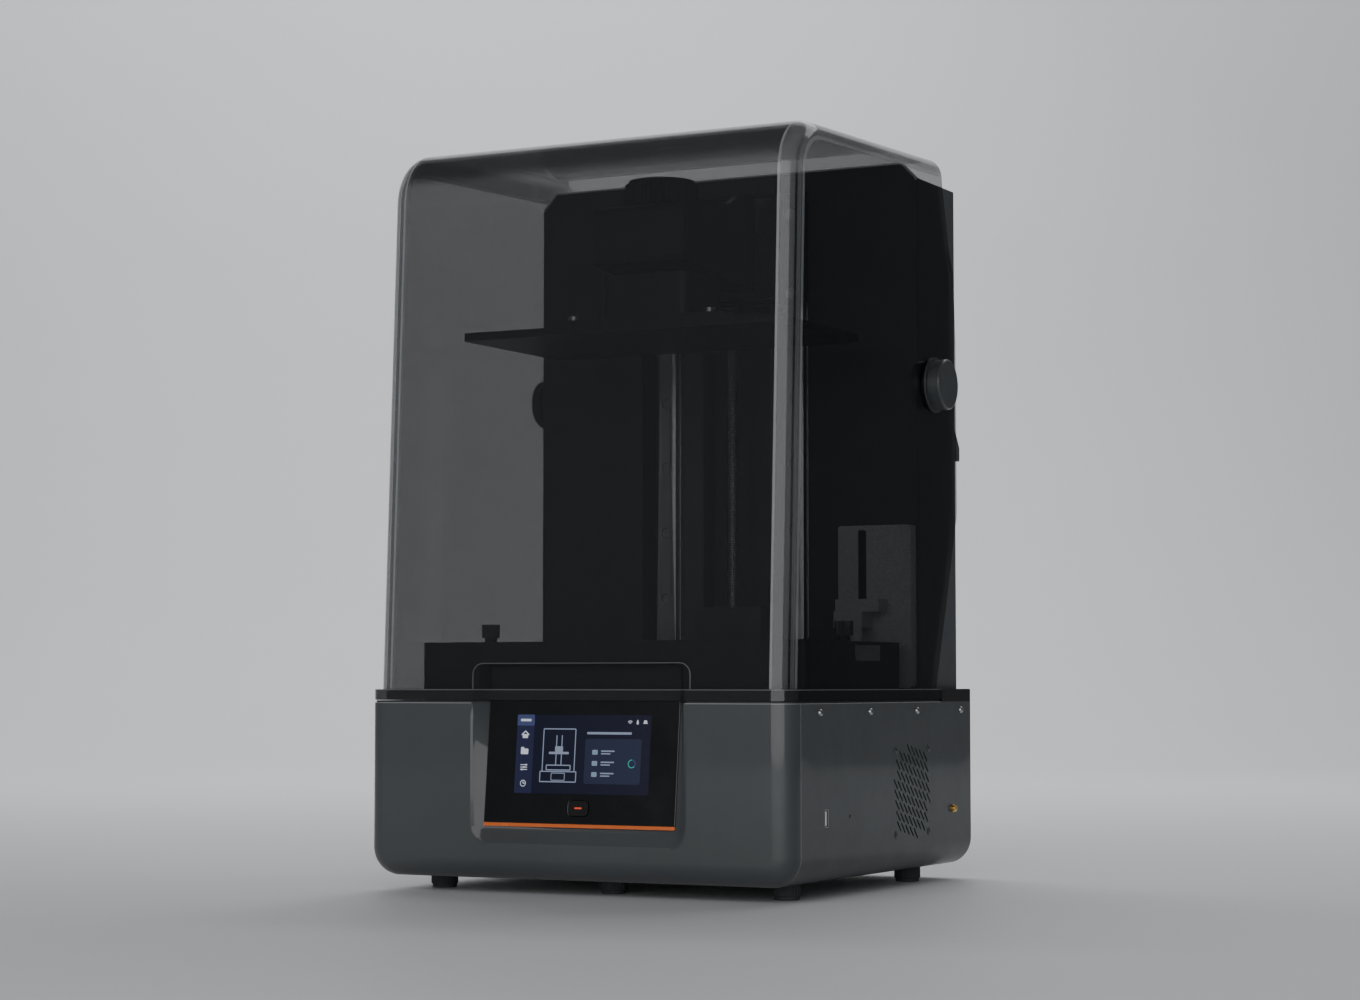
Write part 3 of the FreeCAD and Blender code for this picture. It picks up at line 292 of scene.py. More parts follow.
def smoked(name):
    """Smoked clear plastic: thin flat walls, denser in the bends and in the flange at its foot. Its
    colour carries painted highlights on the bends, rims and flange top, and painted shade on the
    side walls, the side flange, the brow and a line in each bend.
    """
    g = Graph(name)
    g.set(IOR=1.49, Coat_Weight=0.2, Coat_Roughness=0.02)
    normal = g.add("ShaderNodeSeparateXYZ")
    g.link(g.add("ShaderNodeTexCoord").outputs["Normal"], normal.inputs["Vector"])
    place = g.add("ShaderNodeSeparateXYZ")
    g.link(g.coords, place.inputs["Vector"])
    upright = g.product(normal.outputs["X"], normal.outputs["Y"])
    along_roof = g.product(normal.outputs["X"], normal.outputs["Z"])
    nose = g.product(normal.outputs["Y"], normal.outputs["Z"])
    # The bend mask marks where a lighter band is painted on the bends: a painted highlight.
    bend = g.remap(g.largest(upright, along_roof), 0.06, 0.20, 0.0, 1.0)
    brow = g.remap(nose, 0.02, 0.46, 0.0, 1.0)
    foot = g.remap(place.outputs["Z"], HOOD_FOOT, HOOD_FOOT + 0.0005, 1.0, 0.0)
    sideways = g.product(normal.outputs["X"], normal.outputs["X"])
    clear = g.blend(g.noise(4.0), (0.028, 0.0305, 0.032), (0.032, 0.0345, 0.036))
    # Walls facing sideways are painted almost black: a painted shade.
    walls = g.blend_over(g.remap(sideways, 0.96, 1.0, 0.0, 1.0), clear, (0.003, 0.0033, 0.0036))
    # The roll over the brow is painted a little darker: a painted shade.
    brow_shade = g.blend_over(brow, walls, (0.026, 0.0285, 0.030))
    bend_highlight = g.blend_over(bend, brow_shade, (0.120, 0.127, 0.132))
    # Thin bright lines at the rims and where the bends start are painted highlights; the dark line
    # inside each bend is a painted shade.
    rim_highlight = g.within(sideways, 0.955, 0.9995)
    bend_shade_line = g.within(sideways, 0.62, 0.74)
    bend_start_highlight = g.within(sideways, 0.0004, 0.02)
    lines = g.blend_over(bend_shade_line, bend_highlight, (0.012, 0.013, 0.014))
    lines = g.blend_over(g.largest(rim_highlight, bend_start_highlight), lines, (0.30, 0.31, 0.32))
    # The flange on the side walls is painted almost black too, a painted shade; the front flange
    # keeps its own tint.
    side_flange_shade = g.product(foot, g.within(sideways, 0.97, 2.0))
    flange = g.blend_over(foot, lines, (0.030, 0.032, 0.034))
    flange = g.blend_over(side_flange_shade, flange, (0.002, 0.002, 0.0022))
    # A bright line painted along the top of the flange: a painted highlight.
    flange_top_highlight = g.within(place.outputs["Z"], HOOD_FOOT - 0.0009, HOOD_FOOT - 0.0001)
    g.link(g.blend_over(flange_top_highlight, flange, (0.16, 0.165, 0.17)), g.shader.inputs["Base Color"])
    g.link(g.remap(g.noise(30.0, 3.0), 0.3, 0.75, 0.025, 0.04), g.shader.inputs["Roughness"])
    slant = g.add("ShaderNodeLayerWeight")
    slant.inputs["Blend"].default_value = 0.5
    wall = g.remap(slant.outputs["Facing"], 0.80, 1.0, HOOD_ALPHA, 0.75)
    painted_line_alpha = g.remap(g.largest(rim_highlight, bend_start_highlight, bend_shade_line), 0.0, 1.0, 0.0, BEND_ALPHA)
    dense = g.largest(wall, painted_line_alpha, g.remap(bend, 0.0, 1.0, 0.0, BEND_ALPHA),
                      g.remap(foot, 0.0, 1.0, 0.0, FOOT_ALPHA),
                      g.remap(brow, 0.0, 1.0, 0.0, BROW_ALPHA))
    g.link(dense, g.shader.inputs["Alpha"])
    return g.material


def film(name):
    g = Graph(name)
    g.set(IOR=1.35, Alpha=0.3)
    g.link(g.blend(g.noise(12.0), (0.55, 0.58, 0.60), (0.62, 0.65, 0.67)),
           g.shader.inputs["Base Color"])
    g.link(g.remap(g.noise(50.0), 0.3, 0.7, 0.08, 0.16), g.shader.inputs["Roughness"])
    return g.material


def glossy(name, color, rough=0.25):
    g = Graph(name)
    g.set(Coat_Weight=0.4, Coat_Roughness=0.1)
    g.link(g.blend(g.noise(40.0), shade(color, 0.94), shade(color, 1.05)),
           g.shader.inputs["Base Color"])
    g.link(g.remap(g.noise(90.0), 0.3, 0.7, rough - 0.04, rough + 0.05),
           g.shader.inputs["Roughness"])
    g.bump(g.noise(700.0), 0.05, 0.0001)
    return g.material


def circuit(name):
    """Green solder resist over faint tracks."""
    g = Graph(name)
    tracks = g.remap(g.cells(240.0, "DISTANCE_TO_EDGE"), 0.02, 0.05, 0.0, 1.0)
    g.link(g.blend(tracks, (0.03, 0.12, 0.06), (0.012, 0.06, 0.03)), g.shader.inputs["Base Color"])
    g.link(g.remap(g.noise(70.0), 0.3, 0.7, 0.3, 0.42), g.shader.inputs["Roughness"])
    return g.material


def lit(name, color, strength, spread=0.08):
    """A lit part of the screen, with a faint pixel-scale ripple."""
    g = Graph(name)
    ripple = g.noise(1400.0, 1.0)
    tone = g.blend(ripple, shade(color, 1 - spread), shade(color, 1 + spread))
    g.link(g.blend(ripple, shade(color, 0.25), shade(color, 0.3)), g.shader.inputs["Base Color"])
    g.link(tone, g.shader.inputs["Emission Color"])
    g.set(Emission_Strength=strength, Roughness=0.25)
    return g.material


def etched(name):
    """Underside of the build platform: blasted metal with a fine etched grid."""
    g = Graph(name)
    g.set(Metallic=0.8)
    brick = g.add("ShaderNodeTexBrick", offset=0.0, squash=1.0)
    for key, value in (("Scale", 120.0), ("Mortar Size", 0.03), ("Brick Width", 0.3),
                       ("Row Height", 0.3)):
        brick.inputs[key].default_value = value
    g.link(g.coords, brick.inputs["Vector"])
    grid = brick.outputs["Fac"]
    g.link(g.blend(grid, (0.055, 0.058, 0.062), (0.02, 0.022, 0.024)),
           g.shader.inputs["Base Color"])
    g.link(g.remap(g.noise(120.0), 0.3, 0.7, 0.40, 0.52), g.shader.inputs["Roughness"])
    g.bump(grid, 0.3, 0.0001)
    return g.material


HOOD_ALPHA = 0.45       # share of light each face of the hood stops
BEND_ALPHA = 0.62       # the same where the hood bends
BROW_ALPHA = 0.76       # the same where the front rolls over into the roof
FOOT_ALPHA = 0.80       # the same for the flange at its foot
HOOD_FOOT = 0.1692      # top of that flange
GREY = (0.047, 0.0525, 0.057)

MATERIALS = {
    "base_paint": painted("paint_grey", GREY, 0.56, coat=0.4),
    "fascia_plastic": painted("fascia_grey", GREY, 0.56, grain=2600.0, bump=0.06, coat=0.55),
    "black_plastic": painted("plastic_black", (0.009, 0.009, 0.010), 0.55, grain=1800.0,
                             shine=0.22),
    "tower_paint": painted("tower_black", (0.026, 0.028, 0.031), 0.46, grain=1500.0, bump=0.2),
    "black_anodised": anodised("anodised_black", (0.030, 0.032, 0.035)),
    "bright_steel": metal("ground_steel", (0.50, 0.51, 0.52), 0.30, (1, 1, 0.05)),
    "motor_steel": painted("motor_grey", (0.06, 0.06, 0.065), 0.4, metallic=0.6),
    "bare_aluminium": metal("bare_aluminium", (0.70, 0.71, 0.72), 0.35, (1, 0.05, 1)),
    "rubber": rubber("rubber_black"),
    "panel_glass": black_glass("panel_glass"),
    "circuit_board": circuit("circuit_green"),
    "accent_orange": glossy("accent_orange", (0.80, 0.17, 0.035)),
    "brass": metal("turned_brass", (0.80, 0.58, 0.22), 0.22, (0.05, 1, 1)),
    "film_clear": film("film_clear"),
    "module_plastic": speckled("module_speckled"),
    "smoked_plastic": smoked("smoked_clear"),
}


# ======== mesh helpers ========

def finish_mesh(obj, body, slot, material=None, bevel=0.0, split=24.0):
    """Material, edge treatment and the body it rides on; the slot picks the material when none is
    given.
    """
    obj.data.materials.append(material or MATERIALS[slot])
    for face in obj.data.polygons:
        face.use_smooth = True
    if bevel:
        soft = obj.modifiers.new("edge", "BEVEL")
        soft.width = bevel
        soft.segments = 2
        soft.limit_method = "ANGLE"
        soft.angle_limit = math.radians(30)
    split_and_smooth(obj, split)
    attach(obj, body)
    return obj


def from_bmesh(name, mesh):
    bmesh.ops.recalc_face_normals(mesh, faces=mesh.faces)
    data = bpy.data.meshes.new(name)
    mesh.to_mesh(data)
    mesh.free()
    obj = bpy.data.objects.new(name, data)
    bpy.context.scene.collection.objects.link(obj)
    return obj


def split_and_smooth(obj, angle):
    """Crisp edges above the angle and even shading on flat and round faces."""
    split = obj.modifiers.new("crisp", "EDGE_SPLIT")
    split.split_angle = math.radians(angle)
    split.use_edge_sharp = False
    even = obj.modifiers.new("even", "WEIGHTED_NORMAL")
    even.mode = "FACE_AREA_WITH_ANGLE"
    even.weight = 100


def dress_cad_nodes():
    """Every CAD node: weld the split corners, round sharp edges a little, give it its material."""
    slots = {row["node"]: row["material_slot"] for row in frame["record"]["subparts"]}
    for name, obj in NODES.items():
        obj.data.materials.clear()
        obj.data.materials.append(MATERIALS[slots[name]])
        for face in obj.data.polygons:
            face.use_smooth = True
        weld = obj.modifiers.new("weld", "WELD")
        weld.merge_threshold = 0.00001
        if name in BEVELS:
            soft = obj.modifiers.new("edge", "BEVEL")
            soft.width = BEVELS[name]
            soft.segments = 2
            soft.limit_method = "ANGLE"
            soft.angle_limit = math.radians(28)
            soft.use_clamp_overlap = True
        split_and_smooth(obj, 24.0 if name in BEVELS else 32.0)


# Width of the small round on the sharp edges of the plainer solids.
BEVELS = {
    "vat_body": 0.0008, "build_plate": 0.0006, "z_arm": 0.00025, "carriage_plate": 0.00025,
    "carriage_blocks": 0.0006, "platform_mount": 0.0008, "lower_bearing_block": 0.0006,
    "upper_bearing_block": 0.0003, "linear_rails": 0.0006, "feed_arm": 0.0006,
    "accent_strip": 0.0003, "tower_front_plate": 0.0005, "tower_column": 0.0005, "rear_grip": 0.001,
    "hood_shell": 0.0008, "deck_rim": 0.0006, "touch_glass": 0.0003, "lead_nut": 0.0005,
    "hinge_cap_left": 0.0006, "hinge_cap_right": 0.0006, "power_button": 0.0005,
    "lcd_glass": 0.0003,
}


# ======== studio ========

def make_camera():
    """The product view: from the right at 27 degrees, low, looking slightly up."""
    data = bpy.data.cameras.new("camera")
    data.sensor_width = 36.0
    data.lens = 75.95
    data.clip_start = 0.05
    data.clip_end = 40.0
    camera = bpy.data.objects.new("camera", data)
    camera.location = (1.1559, -2.2257, 0.1742)
    camera.rotation_euler = (math.radians(93.65), 0.0, math.radians(27.41))
    bpy.context.scene.collection.objects.link(camera)
    bpy.context.scene.camera = camera


def area_light(name, place, target, size, power):
    data = bpy.data.lights.new(name, "AREA")
    data.shape = "RECTANGLE"
    data.size = size[0]
    data.size_y = size[1]
    data.energy = power
    light = bpy.data.objects.new(name, data)
    light.location = place
    aim = Vector(target) - Vector(place)
    light.rotation_euler = aim.to_track_quat("-Z", "Y").to_euler()
    bpy.context.scene.collection.objects.link(light)
    return light


def make_studio():
    """Pale sweep behind the printer, a wide front light and a long one high at the rear."""
    mesh = bmesh.new()
    run = 4.5
    wall = 5.0
    bend = 1.2
    left = -6.5
    right = 3.0
    section = [(-9.0, 0.0), (run - bend, 0.0)]
    for step in range(1, 9):
        turn = math.pi / 2 * step / 8
        section.append((run - bend + bend * math.sin(turn), bend - bend * math.cos(turn)))
    section.append((run, wall))
    rows = [[mesh.verts.new((x, y, z)) for x in (left, right)] for y, z in section]
    for low, high in zip(rows, rows[1:]):
        mesh.faces.new((low[0], low[1], high[1], high[0]))
    floor = from_bmesh("floor", mesh)
    floor.data.transform(Matrix.Rotation(math.radians(27.0), 4, "Z"))
    for face in floor.data.polygons:
        face.use_smooth = True
    g = Graph("floor_pale")
    g.link(g.blend(g.noise(1.5), (0.78, 0.79, 0.81), (0.82, 0.83, 0.85)),
           g.shader.inputs["Base Color"])
    g.set(Roughness=0.6)
    floor.data.materials.append(g.material)
    world = bpy.data.worlds.new("studio")
    world.use_nodes = True
    world.node_tree.nodes["Background"].inputs["Color"].default_value = (0.85, 0.90, 0.96, 1)
    world.node_tree.nodes["Background"].inputs["Strength"].default_value = 0.08
    bpy.context.scene.world = world
    area_light("front", (0.77, -3.1, 1.0), (0, 0, 0.45), (4.3, 2.0), 62)
    area_light("rear_top", (0.6, 2.9, 3.1), (0, 0, 0.4), (4.0, 1.4), 35)
    backdrop = area_light("backdrop", (-1.4, 1.4, 3.6), (-2.0, 4.0, 1.0), (3.0, 1.6), 110)
    backdrop.visible_glossy = False


# ======== finer pieces ========

def turned(mesh, rows, place, count=32, shape=None):
    """Skin round an axis from rows of (radius, height); shape may set the radius by angle."""
    rings = []
    for index, (radius, height) in enumerate(rows):
        ring = []
        for step in range(count):
            angle = 2 * math.pi * step / count
            reach = shape(radius, height, angle, index) if shape else radius
            spot = Vector((reach * math.cos(angle), reach * math.sin(angle), height))
            ring.append(mesh.verts.new(place @ (spot * MM)))
        rings.append(ring)
    for low, high in zip(rings, rings[1:]):
        for step in range(count):
            after = (step + 1) % count
            mesh.faces.new((low[step], low[after], high[after], high[step]))
    mesh.faces.new(rings[0])
    mesh.faces.new(rings[-1])


def facing(x, y, z, axis):
    """Frame whose z runs along the axis, at a point given in millimetres."""
    turn = Vector((0, 0, 1)).rotation_difference(Vector(axis)).to_matrix().to_4x4()
    return Matrix.Translation(Vector((x, y, z)) * MM) @ turn


def block(mesh, low, high):
    """Box between two corners in millimetres."""
    corners = [Vector((x, y, z)) * MM for x in (low[0], high[0]) for y in (low[1], high[1])
               for z in (low[2], high[2])]
    verts = [mesh.verts.new(corner) for corner in corners]
    sides = ((0, 1, 3, 2), (4, 6, 7, 5), (0, 4, 5, 1), (2, 3, 7, 6), (0, 2, 6, 4), (1, 5, 7, 3))
    for side in sides:
        mesh.faces.new([verts[i] for i in side])


def plate(mesh, outline, near, far, place):
    """Flat piece with the given outline of (u, v), between two depths of the place's frame."""
    front = [mesh.verts.new(place @ (Vector((u, near, v)) * MM)) for u, v in outline]
    back = [mesh.verts.new(place @ (Vector((u, far, v)) * MM)) for u, v in outline]
    mesh.faces.new(front)
    mesh.faces.new(back[::-1])
    for step in range(len(outline)):
        after = (step + 1) % len(outline)
        mesh.faces.new((front[step], back[step], back[after], front[after]))


def round_rect(u0, u1, v0, v1, radius, steps=4):
    """Outline of a rectangle with rounded corners."""
    points = []
    centres = ((u1 - radius, v1 - radius, 0), (u0 + radius, v1 - radius, 90),
               (u0 + radius, v0 + radius, 180), (u1 - radius, v0 + radius, 270))
    for cu, cv, start in centres:
        for step in range(steps + 1):
            turn = math.radians(start + 90 * step / steps)
            points.append((cu + radius * math.cos(turn), cv + radius * math.sin(turn)))
    return points


def hexagonal(radius, angle):
    """Distance from the middle of a hexagon to its side in this direction."""
    within = (math.degrees(angle) % 60) - 30
    return radius / math.cos(math.radians(within))


def make_lead_thread():
    """Lead screw with its four-start trapezoidal thread, and plain ends."""
    crest, root, lead, starts = 6.0, 5.0, 8.0, 4
    low, high = THREAD_LOW, THREAD_HIGH
    step = 0.4
    heights = [low + step * i for i in range(int((high - low) / step) + 1)]
    rows = [(crest, SCREW_LOW), (crest, low - 0.1)] + [(root, z) for z in heights]
    rows.append((crest, SCREW_TOP))
    last = len(rows) - 1

    def reach(radius, height, angle, row):
        if row < 2 or row == last:
            return crest - 0.6 * (row == last)
        turn = (height / lead - angle / (2 * math.pi)) * starts % 1.0
        rise = max(0.0, min(1.0, abs(turn * 2 - 1) * 2.6 - 0.8))
        return root + (crest - root) * rise

    mesh = bmesh.new()
    turned(mesh, rows, facing(0, SCREW_Y, 0, (0, 0, 1)), 28, reach)
    thread = from_bmesh("lead_thread", mesh)
    finish_mesh(thread, "lead_screw", "bright_steel", split=40.0)
    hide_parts("lead_screw")


def socket_head(mesh, place, radius, height, socket, domed):
    """Cap or button head with a hexagon socket."""
    shoulder = height * (0.35 if domed else 0.88)
    deep = max(height - 2.4, height * 0.3)
    rows = [(radius * 0.6, -3.0), (radius * 0.6, 0.0), (radius, 0.0), (radius, shoulder)]
    if domed:
        rows += [(radius * 0.86, height * 0.75), (radius * 0.66, height * 0.95)]
    else:
        rows += [(radius - height * 0.12, height)]
    first_socket = len(rows)
    rows += [(socket, height), (socket, deep), (0.05, deep - 0.2)]

    def reach(radius_here, level, angle, row):
        if row in (first_socket, first_socket + 1):
            return hexagonal(radius_here, angle)
        return radius_here

    turned(mesh, rows, place, 24, reach)


def make_case_screw_heads():
    mesh = bmesh.new()
    for side in (-1, 1):
        for y in DECK_SCREW_YS:
            place = facing(side * HALF_W, y, DECK_SCREW_Z, (side, 0, 0))
            socket_head(mesh, place, 3.0, 2.0, 1.2, True)
    screws = from_bmesh("deck_screw_heads", mesh)
    finish_mesh(screws, "base", "bright_steel", split=32.0)
    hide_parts("case_screws")
    mesh = bmesh.new()
    for u in (-FAN_BOSS, FAN_BOSS):
        for v in (-FAN_BOSS, FAN_BOSS):
            socket_head(mesh, facing(HALF_W, FAN_Y + u, FAN_Z + v, (1, 0, 0)), 3.2, 0.9, 1.1, True)
    finish_mesh(from_bmesh("fan_screw_heads", mesh), "base", "base_paint", split=32.0)


def make_arm_bolts():
    """Cap screws beside the arm's root, and the levelling screws of the platform."""
    mesh = bmesh.new()
    for side in (-1, 1):
        for z in ARM_BOLT_ZS:
            place = facing(side * ARM_BOLT_X, ARM_BOLT_Y, z, (0, -1, 0))
            socket_head(mesh, place, 5.0, 5.0, 2.4, False)
        for y in LEVEL_BOLT_YS:
            place = facing(side * LEVEL_BOLT_X, y, LEVEL_BOLT_Z, (0, 0, 1))
            socket_head(mesh, place, 5.0, 5.0, 2.4, False)
    bolts = from_bmesh("arm_bolt_heads", mesh)
    finish_mesh(bolts, "carriage", "bright_steel", split=32.0)
    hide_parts("arm_screws")


def make_ribbed_feet():
    """Rubber feet with a plain tread and a finely ribbed upper tier."""
    mesh = bmesh.new()
    rows = [(9.6, 0.0), (10.4, 0.7), (10.4, 2.8), (11.1, 3.2), (11.5, 3.8), (11.5, 12.2),
            (10.9, 12.95)]
    ribs, groove = 24, 0.45

    def reach(radius, height, angle, row):
        return radius - (groove if row in (4, 5) and math.cos(angle * ribs) < 0 else 0.0)

    for x, y in FOOT_PLACES:
        turned(mesh, rows, facing(x, y, 0, (0, 0, 1)), 96, reach)
    feet = from_bmesh("ribbed_feet", mesh)
    finish_mesh(feet, "base", "rubber", split=32.0)
    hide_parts("rubber_feet")


def make_connector_details():
    """Tongue and contacts of the USB socket, and the threaded aerial barrel."""
    mesh = bmesh.new()
    below, above = USB_TONGUE_YS
    block(mesh, (HALF_W - 17.2, below, USB_Z - 5.8), (HALF_W, above, USB_Z + 5.8))
    tongue = from_bmesh("usb_tongue", mesh)
    finish_mesh(tongue, "base", "module_plastic", material=WHITE_PLASTIC, bevel=0.0002)
    mesh = bmesh.new()
    for row in range(4):
        z = USB_Z + (row - 1.5) * 2.4
        block(mesh, (HALF_W - 12.0, above - 0.3, z - 0.55), (HALF_W - 1.2, above + 0.1, z + 0.55))
    finish_mesh(from_bmesh("usb_contacts", mesh), "base", "brass", bevel=0.00005)
    mesh = bmesh.new()
    rows = [(3.7, 0.0), (3.7, 0.8), (2.75, 0.82)]
    for turn in range(4):
        rows += [(3.1, 1.0 + turn * 0.55), (2.75, 1.27 + turn * 0.55)]
    rows += [(3.0, 3.3), (2.8, 3.4), (1.3, 3.4), (1.3, 0.9)]
    turned(mesh, rows, facing(HALF_W, ANTENNA_Y, ANTENNA_Z, (1, 0, 0)), 32)
    inner_end = facing(HALF_W - 12.0, ANTENNA_Y, ANTENNA_Z, (1, 0, 0))
    turned(mesh, [(3.1, 0.0), (3.1, 12.0)], inner_end, 24)
    aerial = from_bmesh("antenna_thread", mesh)
    finish_mesh(aerial, "base", "brass", split=32.0)
    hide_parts("antenna_connector")


def make_vat_rating_plate():
    """Pale rating plate on the vat's right wall, held by two rivets. It carries no text."""
    mesh = bmesh.new()
    turn = Matrix.Rotation(math.radians(90), 4, "Z")
    side = Matrix.Translation(Vector((VAT_SIDE, VAT_PLATE_Y, VAT_PLATE_Z)) * MM) @ turn
    plate(mesh, round_rect(-25.5, 25.5, -6.5, 6.5, 1.2), -0.4, 0.1, side)
    finish_mesh(from_bmesh("vat_plate", mesh), "base", "bare_aluminium", bevel=0.0001)
    mesh = bmesh.new()
    for y in (VAT_PLATE_Y - 23.0, VAT_PLATE_Y + 23.0):
        place = facing(VAT_SIDE + 0.35, y, VAT_PLATE_Z, (1, 0, 0))
        turned(mesh, [(0.8, 0.0), (0.8, 0.2), (0.5, 0.45)], place, 16)
    finish_mesh(from_bmesh("vat_plate_rivets", mesh), "base", "bright_steel", split=32.0)


def make_platform_face():
    """Etched face under the build platform."""
    mesh = bmesh.new()
    half_x, half_y = 150.6, 83.6
    block(mesh, (-half_x, PLATFORM_Y - half_y, PLATFORM_LOW - 0.1),
          (half_x, PLATFORM_Y + half_y, PLATFORM_LOW + 0.3))
    finish_mesh(from_bmesh("platform_face", mesh), "carriage", "black_anodised",
                material=etched("platform_etched"), bevel=0.0001)


def make_notch_highlight():
    """Lighter strip round the finger notch in the hood: a painted edge highlight."""
    mesh = bmesh.new()

    def path(grow):
        side = NOTCH_HALF + grow
        radius = NOTCH_R + grow
        points = [(PANEL_X + side, NOTCH_LOW)]
        for step in range(7):
            turn = math.radians(90 * step / 6)
            points.append((PANEL_X + side - radius * (1 - math.cos(turn)),
                           NOTCH_TOP + grow - radius * (1 - math.sin(turn))))
        return points + [(2 * PANEL_X - x, z) for x, z in reversed(points)]

    outline = path(0.9) + path(0.0)[::-1]
    plate(mesh, outline, HOOD_FRONT, HOOD_FRONT + 1.3, Matrix.Identity(4))
    edge = from_bmesh("notch_highlight", mesh)
    finish_mesh(edge, "hood", "smoked_plastic", material=HOOD_EDGE_HIGHLIGHT, bevel=0.0002)


def make_tower_highlight():
    """Near-white strip along the top and the cut corners of the tower's front plate: a painted edge
    highlight.
    """
    half, top, cut, wide, low = TOWER_HALF, TOWER_TOP, TOWER_CUT, 1.5, 616.0
    outer = [(-half, low), (-half, top - cut), (-half + cut, top), (half - cut, top),
             (half, top - cut), (half, low)]
    lean = wide * math.tan(math.radians(22.5))
    inner = [(-half + wide, low), (-half + wide, top - cut - lean),
             (-half + cut + lean, top - wide), (half - cut - lean, top - wide),
             (half - wide, top - cut - lean), (half - wide, low)]
    mesh = bmesh.new()
    plate(mesh, outer + inner[::-1], TOWER_FACE, TOWER_FACE + 3.2, Matrix.Identity(4))
    finish_mesh(from_bmesh("tower_highlight", mesh), "base", "tower_paint", material=WHITE_EDGE_HIGHLIGHT,
                bevel=0.0001)


def make_vent_filter():
    """Dark foam sheet behind the vent slots of the tower cover."""
    mesh = bmesh.new()
    outline = round_rect(-VENT_HALF, VENT_HALF, VENT_LOW, VENT_HIGH, 3.0)
    plate(mesh, outline, VENT_FOAM, VENT_FOAM + 1.8, Matrix.Identity(4))
    finish_mesh(from_bmesh("vent_filter", mesh), "base", "rubber", bevel=0.0003)


def arc_path(centre_u, centre_v, radius, start, stop, steps=10):
    """Points of an arc between two angles in degrees."""
    return [(centre_u + radius * math.cos(math.radians(start + (stop - start) * i / steps)),
             centre_v + radius * math.sin(math.radians(start + (stop - start) * i / steps)))
            for i in range(steps + 1)]


def make_base_highlights():
    """Light strips painted as edge highlights: one on the tray beside the fascia joint, and one
    along the top edge of the base walls.
    """
    def hoop(grow):
        x, low, radius = HALF_W + grow, BASE_LOW - grow, BOTTOM_R + grow
        top = WALL_TOP - 0.1
        return ([(-x, top)] + arc_path(-x + radius, low + radius, radius, 180, 270)
                + arc_path(x - radius, low + radius, radius, 270, 360) + [(x, top)])

    mesh = bmesh.new()
    plate(mesh, hoop(0.0) + hoop(-0.5)[::-1], JOINT_Y - 0.3, JOINT_Y + 0.3, Matrix.Identity(4))
    finish_mesh(from_bmesh("joint_highlight", mesh), "base", "base_paint", material=PALE_EDGE_HIGHLIGHT,
                split=30.0)

    def rim(side, grow):
        x, y, radius = HALF_W + grow, HALF_D + grow, CORNER_R + grow
        inner = PANEL_X * side + RECESS_HALF
        path = [(inner, -y)] + arc_path(x - radius, -y + radius, radius, 270, 360)
        path.append((x, WALL_REAR))
        return [(side * u, v) for u, v in path]

    mesh = bmesh.new()
    lay = Matrix(((1, 0, 0, 0), (0, 0, 1, 0), (0, 1, 0, 0), (0, 0, 0, 1)))
    for side in (-1, 1):
        plate(mesh, rim(side, 0.06) + rim(side, -0.5)[::-1], WALL_TOP - 0.5, WALL_TOP + 0.06, lay)
    line = from_bmesh("wall_top_highlight", mesh)
    finish_mesh(line, "base", "fascia_plastic", material=PALE_EDGE_HIGHLIGHT, split=30.0)


# ---- what the screen shows: shapes and icons without any words ----

def panel_frame():
    tilt = Matrix.Rotation(math.radians(PANEL_LEAN), 4, "X")
    return Matrix.Translation(Vector((PANEL_X, PANEL_Y, PANEL_LOW)) * MM) @ tilt


def screen_part(name, outlines, layer, material):
    """Thin shapes on the glass, with outlines in fractions of the lit area."""
    mesh = bmesh.new()
    near = GLASS_FACE - SCREEN_LAYER * layer
    frame_here = panel_frame()
    for outline in outlines:
        spots = [(SCREEN[0] + u * (SCREEN[1] - SCREEN[0]), SCREEN[2] + v * (SCREEN[3] - SCREEN[2]))
                 for u, v in outline]
        plate(mesh, spots, near, near + 0.75 * SCREEN_LAYER, frame_here)
    finish_mesh(from_bmesh(name, mesh), "base", "panel_glass", material=material, split=30.0)


def tile(u0, u1, v0, v1, radius=0.02):
    """Rounded rectangle in screen fractions, its corners round on the real screen."""
    corners = round_rect(u0 / ASPECT, u1 / ASPECT, v0, v1, radius)
    return [(u * ASPECT, v) for u, v in corners]


def ring_parts(u, v, outer, inner, start, stop, steps=28):
    """A ring, or a part of one, as short bars."""
    bars = []
    for step in range(steps):
        a = math.radians(start + (stop - start) * step / steps)
        b = math.radians(start + (stop - start) * (step + 1.05) / steps)
        bars.append([(u + ASPECT * r * math.cos(t), v + r * math.sin(t))
                     for r, t in ((outer, a), (outer, b), (inner, b), (inner, a))])
    return bars


def line(u0, v0, u1, v1, width=0.007):
    """Bar between two points; width is its half width as a fraction of the screen's height."""
    run = Vector(((u1 - u0) / ASPECT, v1 - v0))
    across = Vector((-run.y, run.x)).normalized() * width
    return [(u0 + across.x * ASPECT, v0 + across.y), (u1 + across.x * ASPECT, v1 + across.y),
            (u1 - across.x * ASPECT, v1 - across.y), (u0 - across.x * ASPECT, v0 - across.y)]


def frame_lines(u0, u1, v0, v1, width=0.007):
    return [line(u0, v0, u1, v0, width), line(u1, v0, u1, v1, width), line(u1, v1, u0, v1, width),
            line(u0, v1, u0, v0, width)]


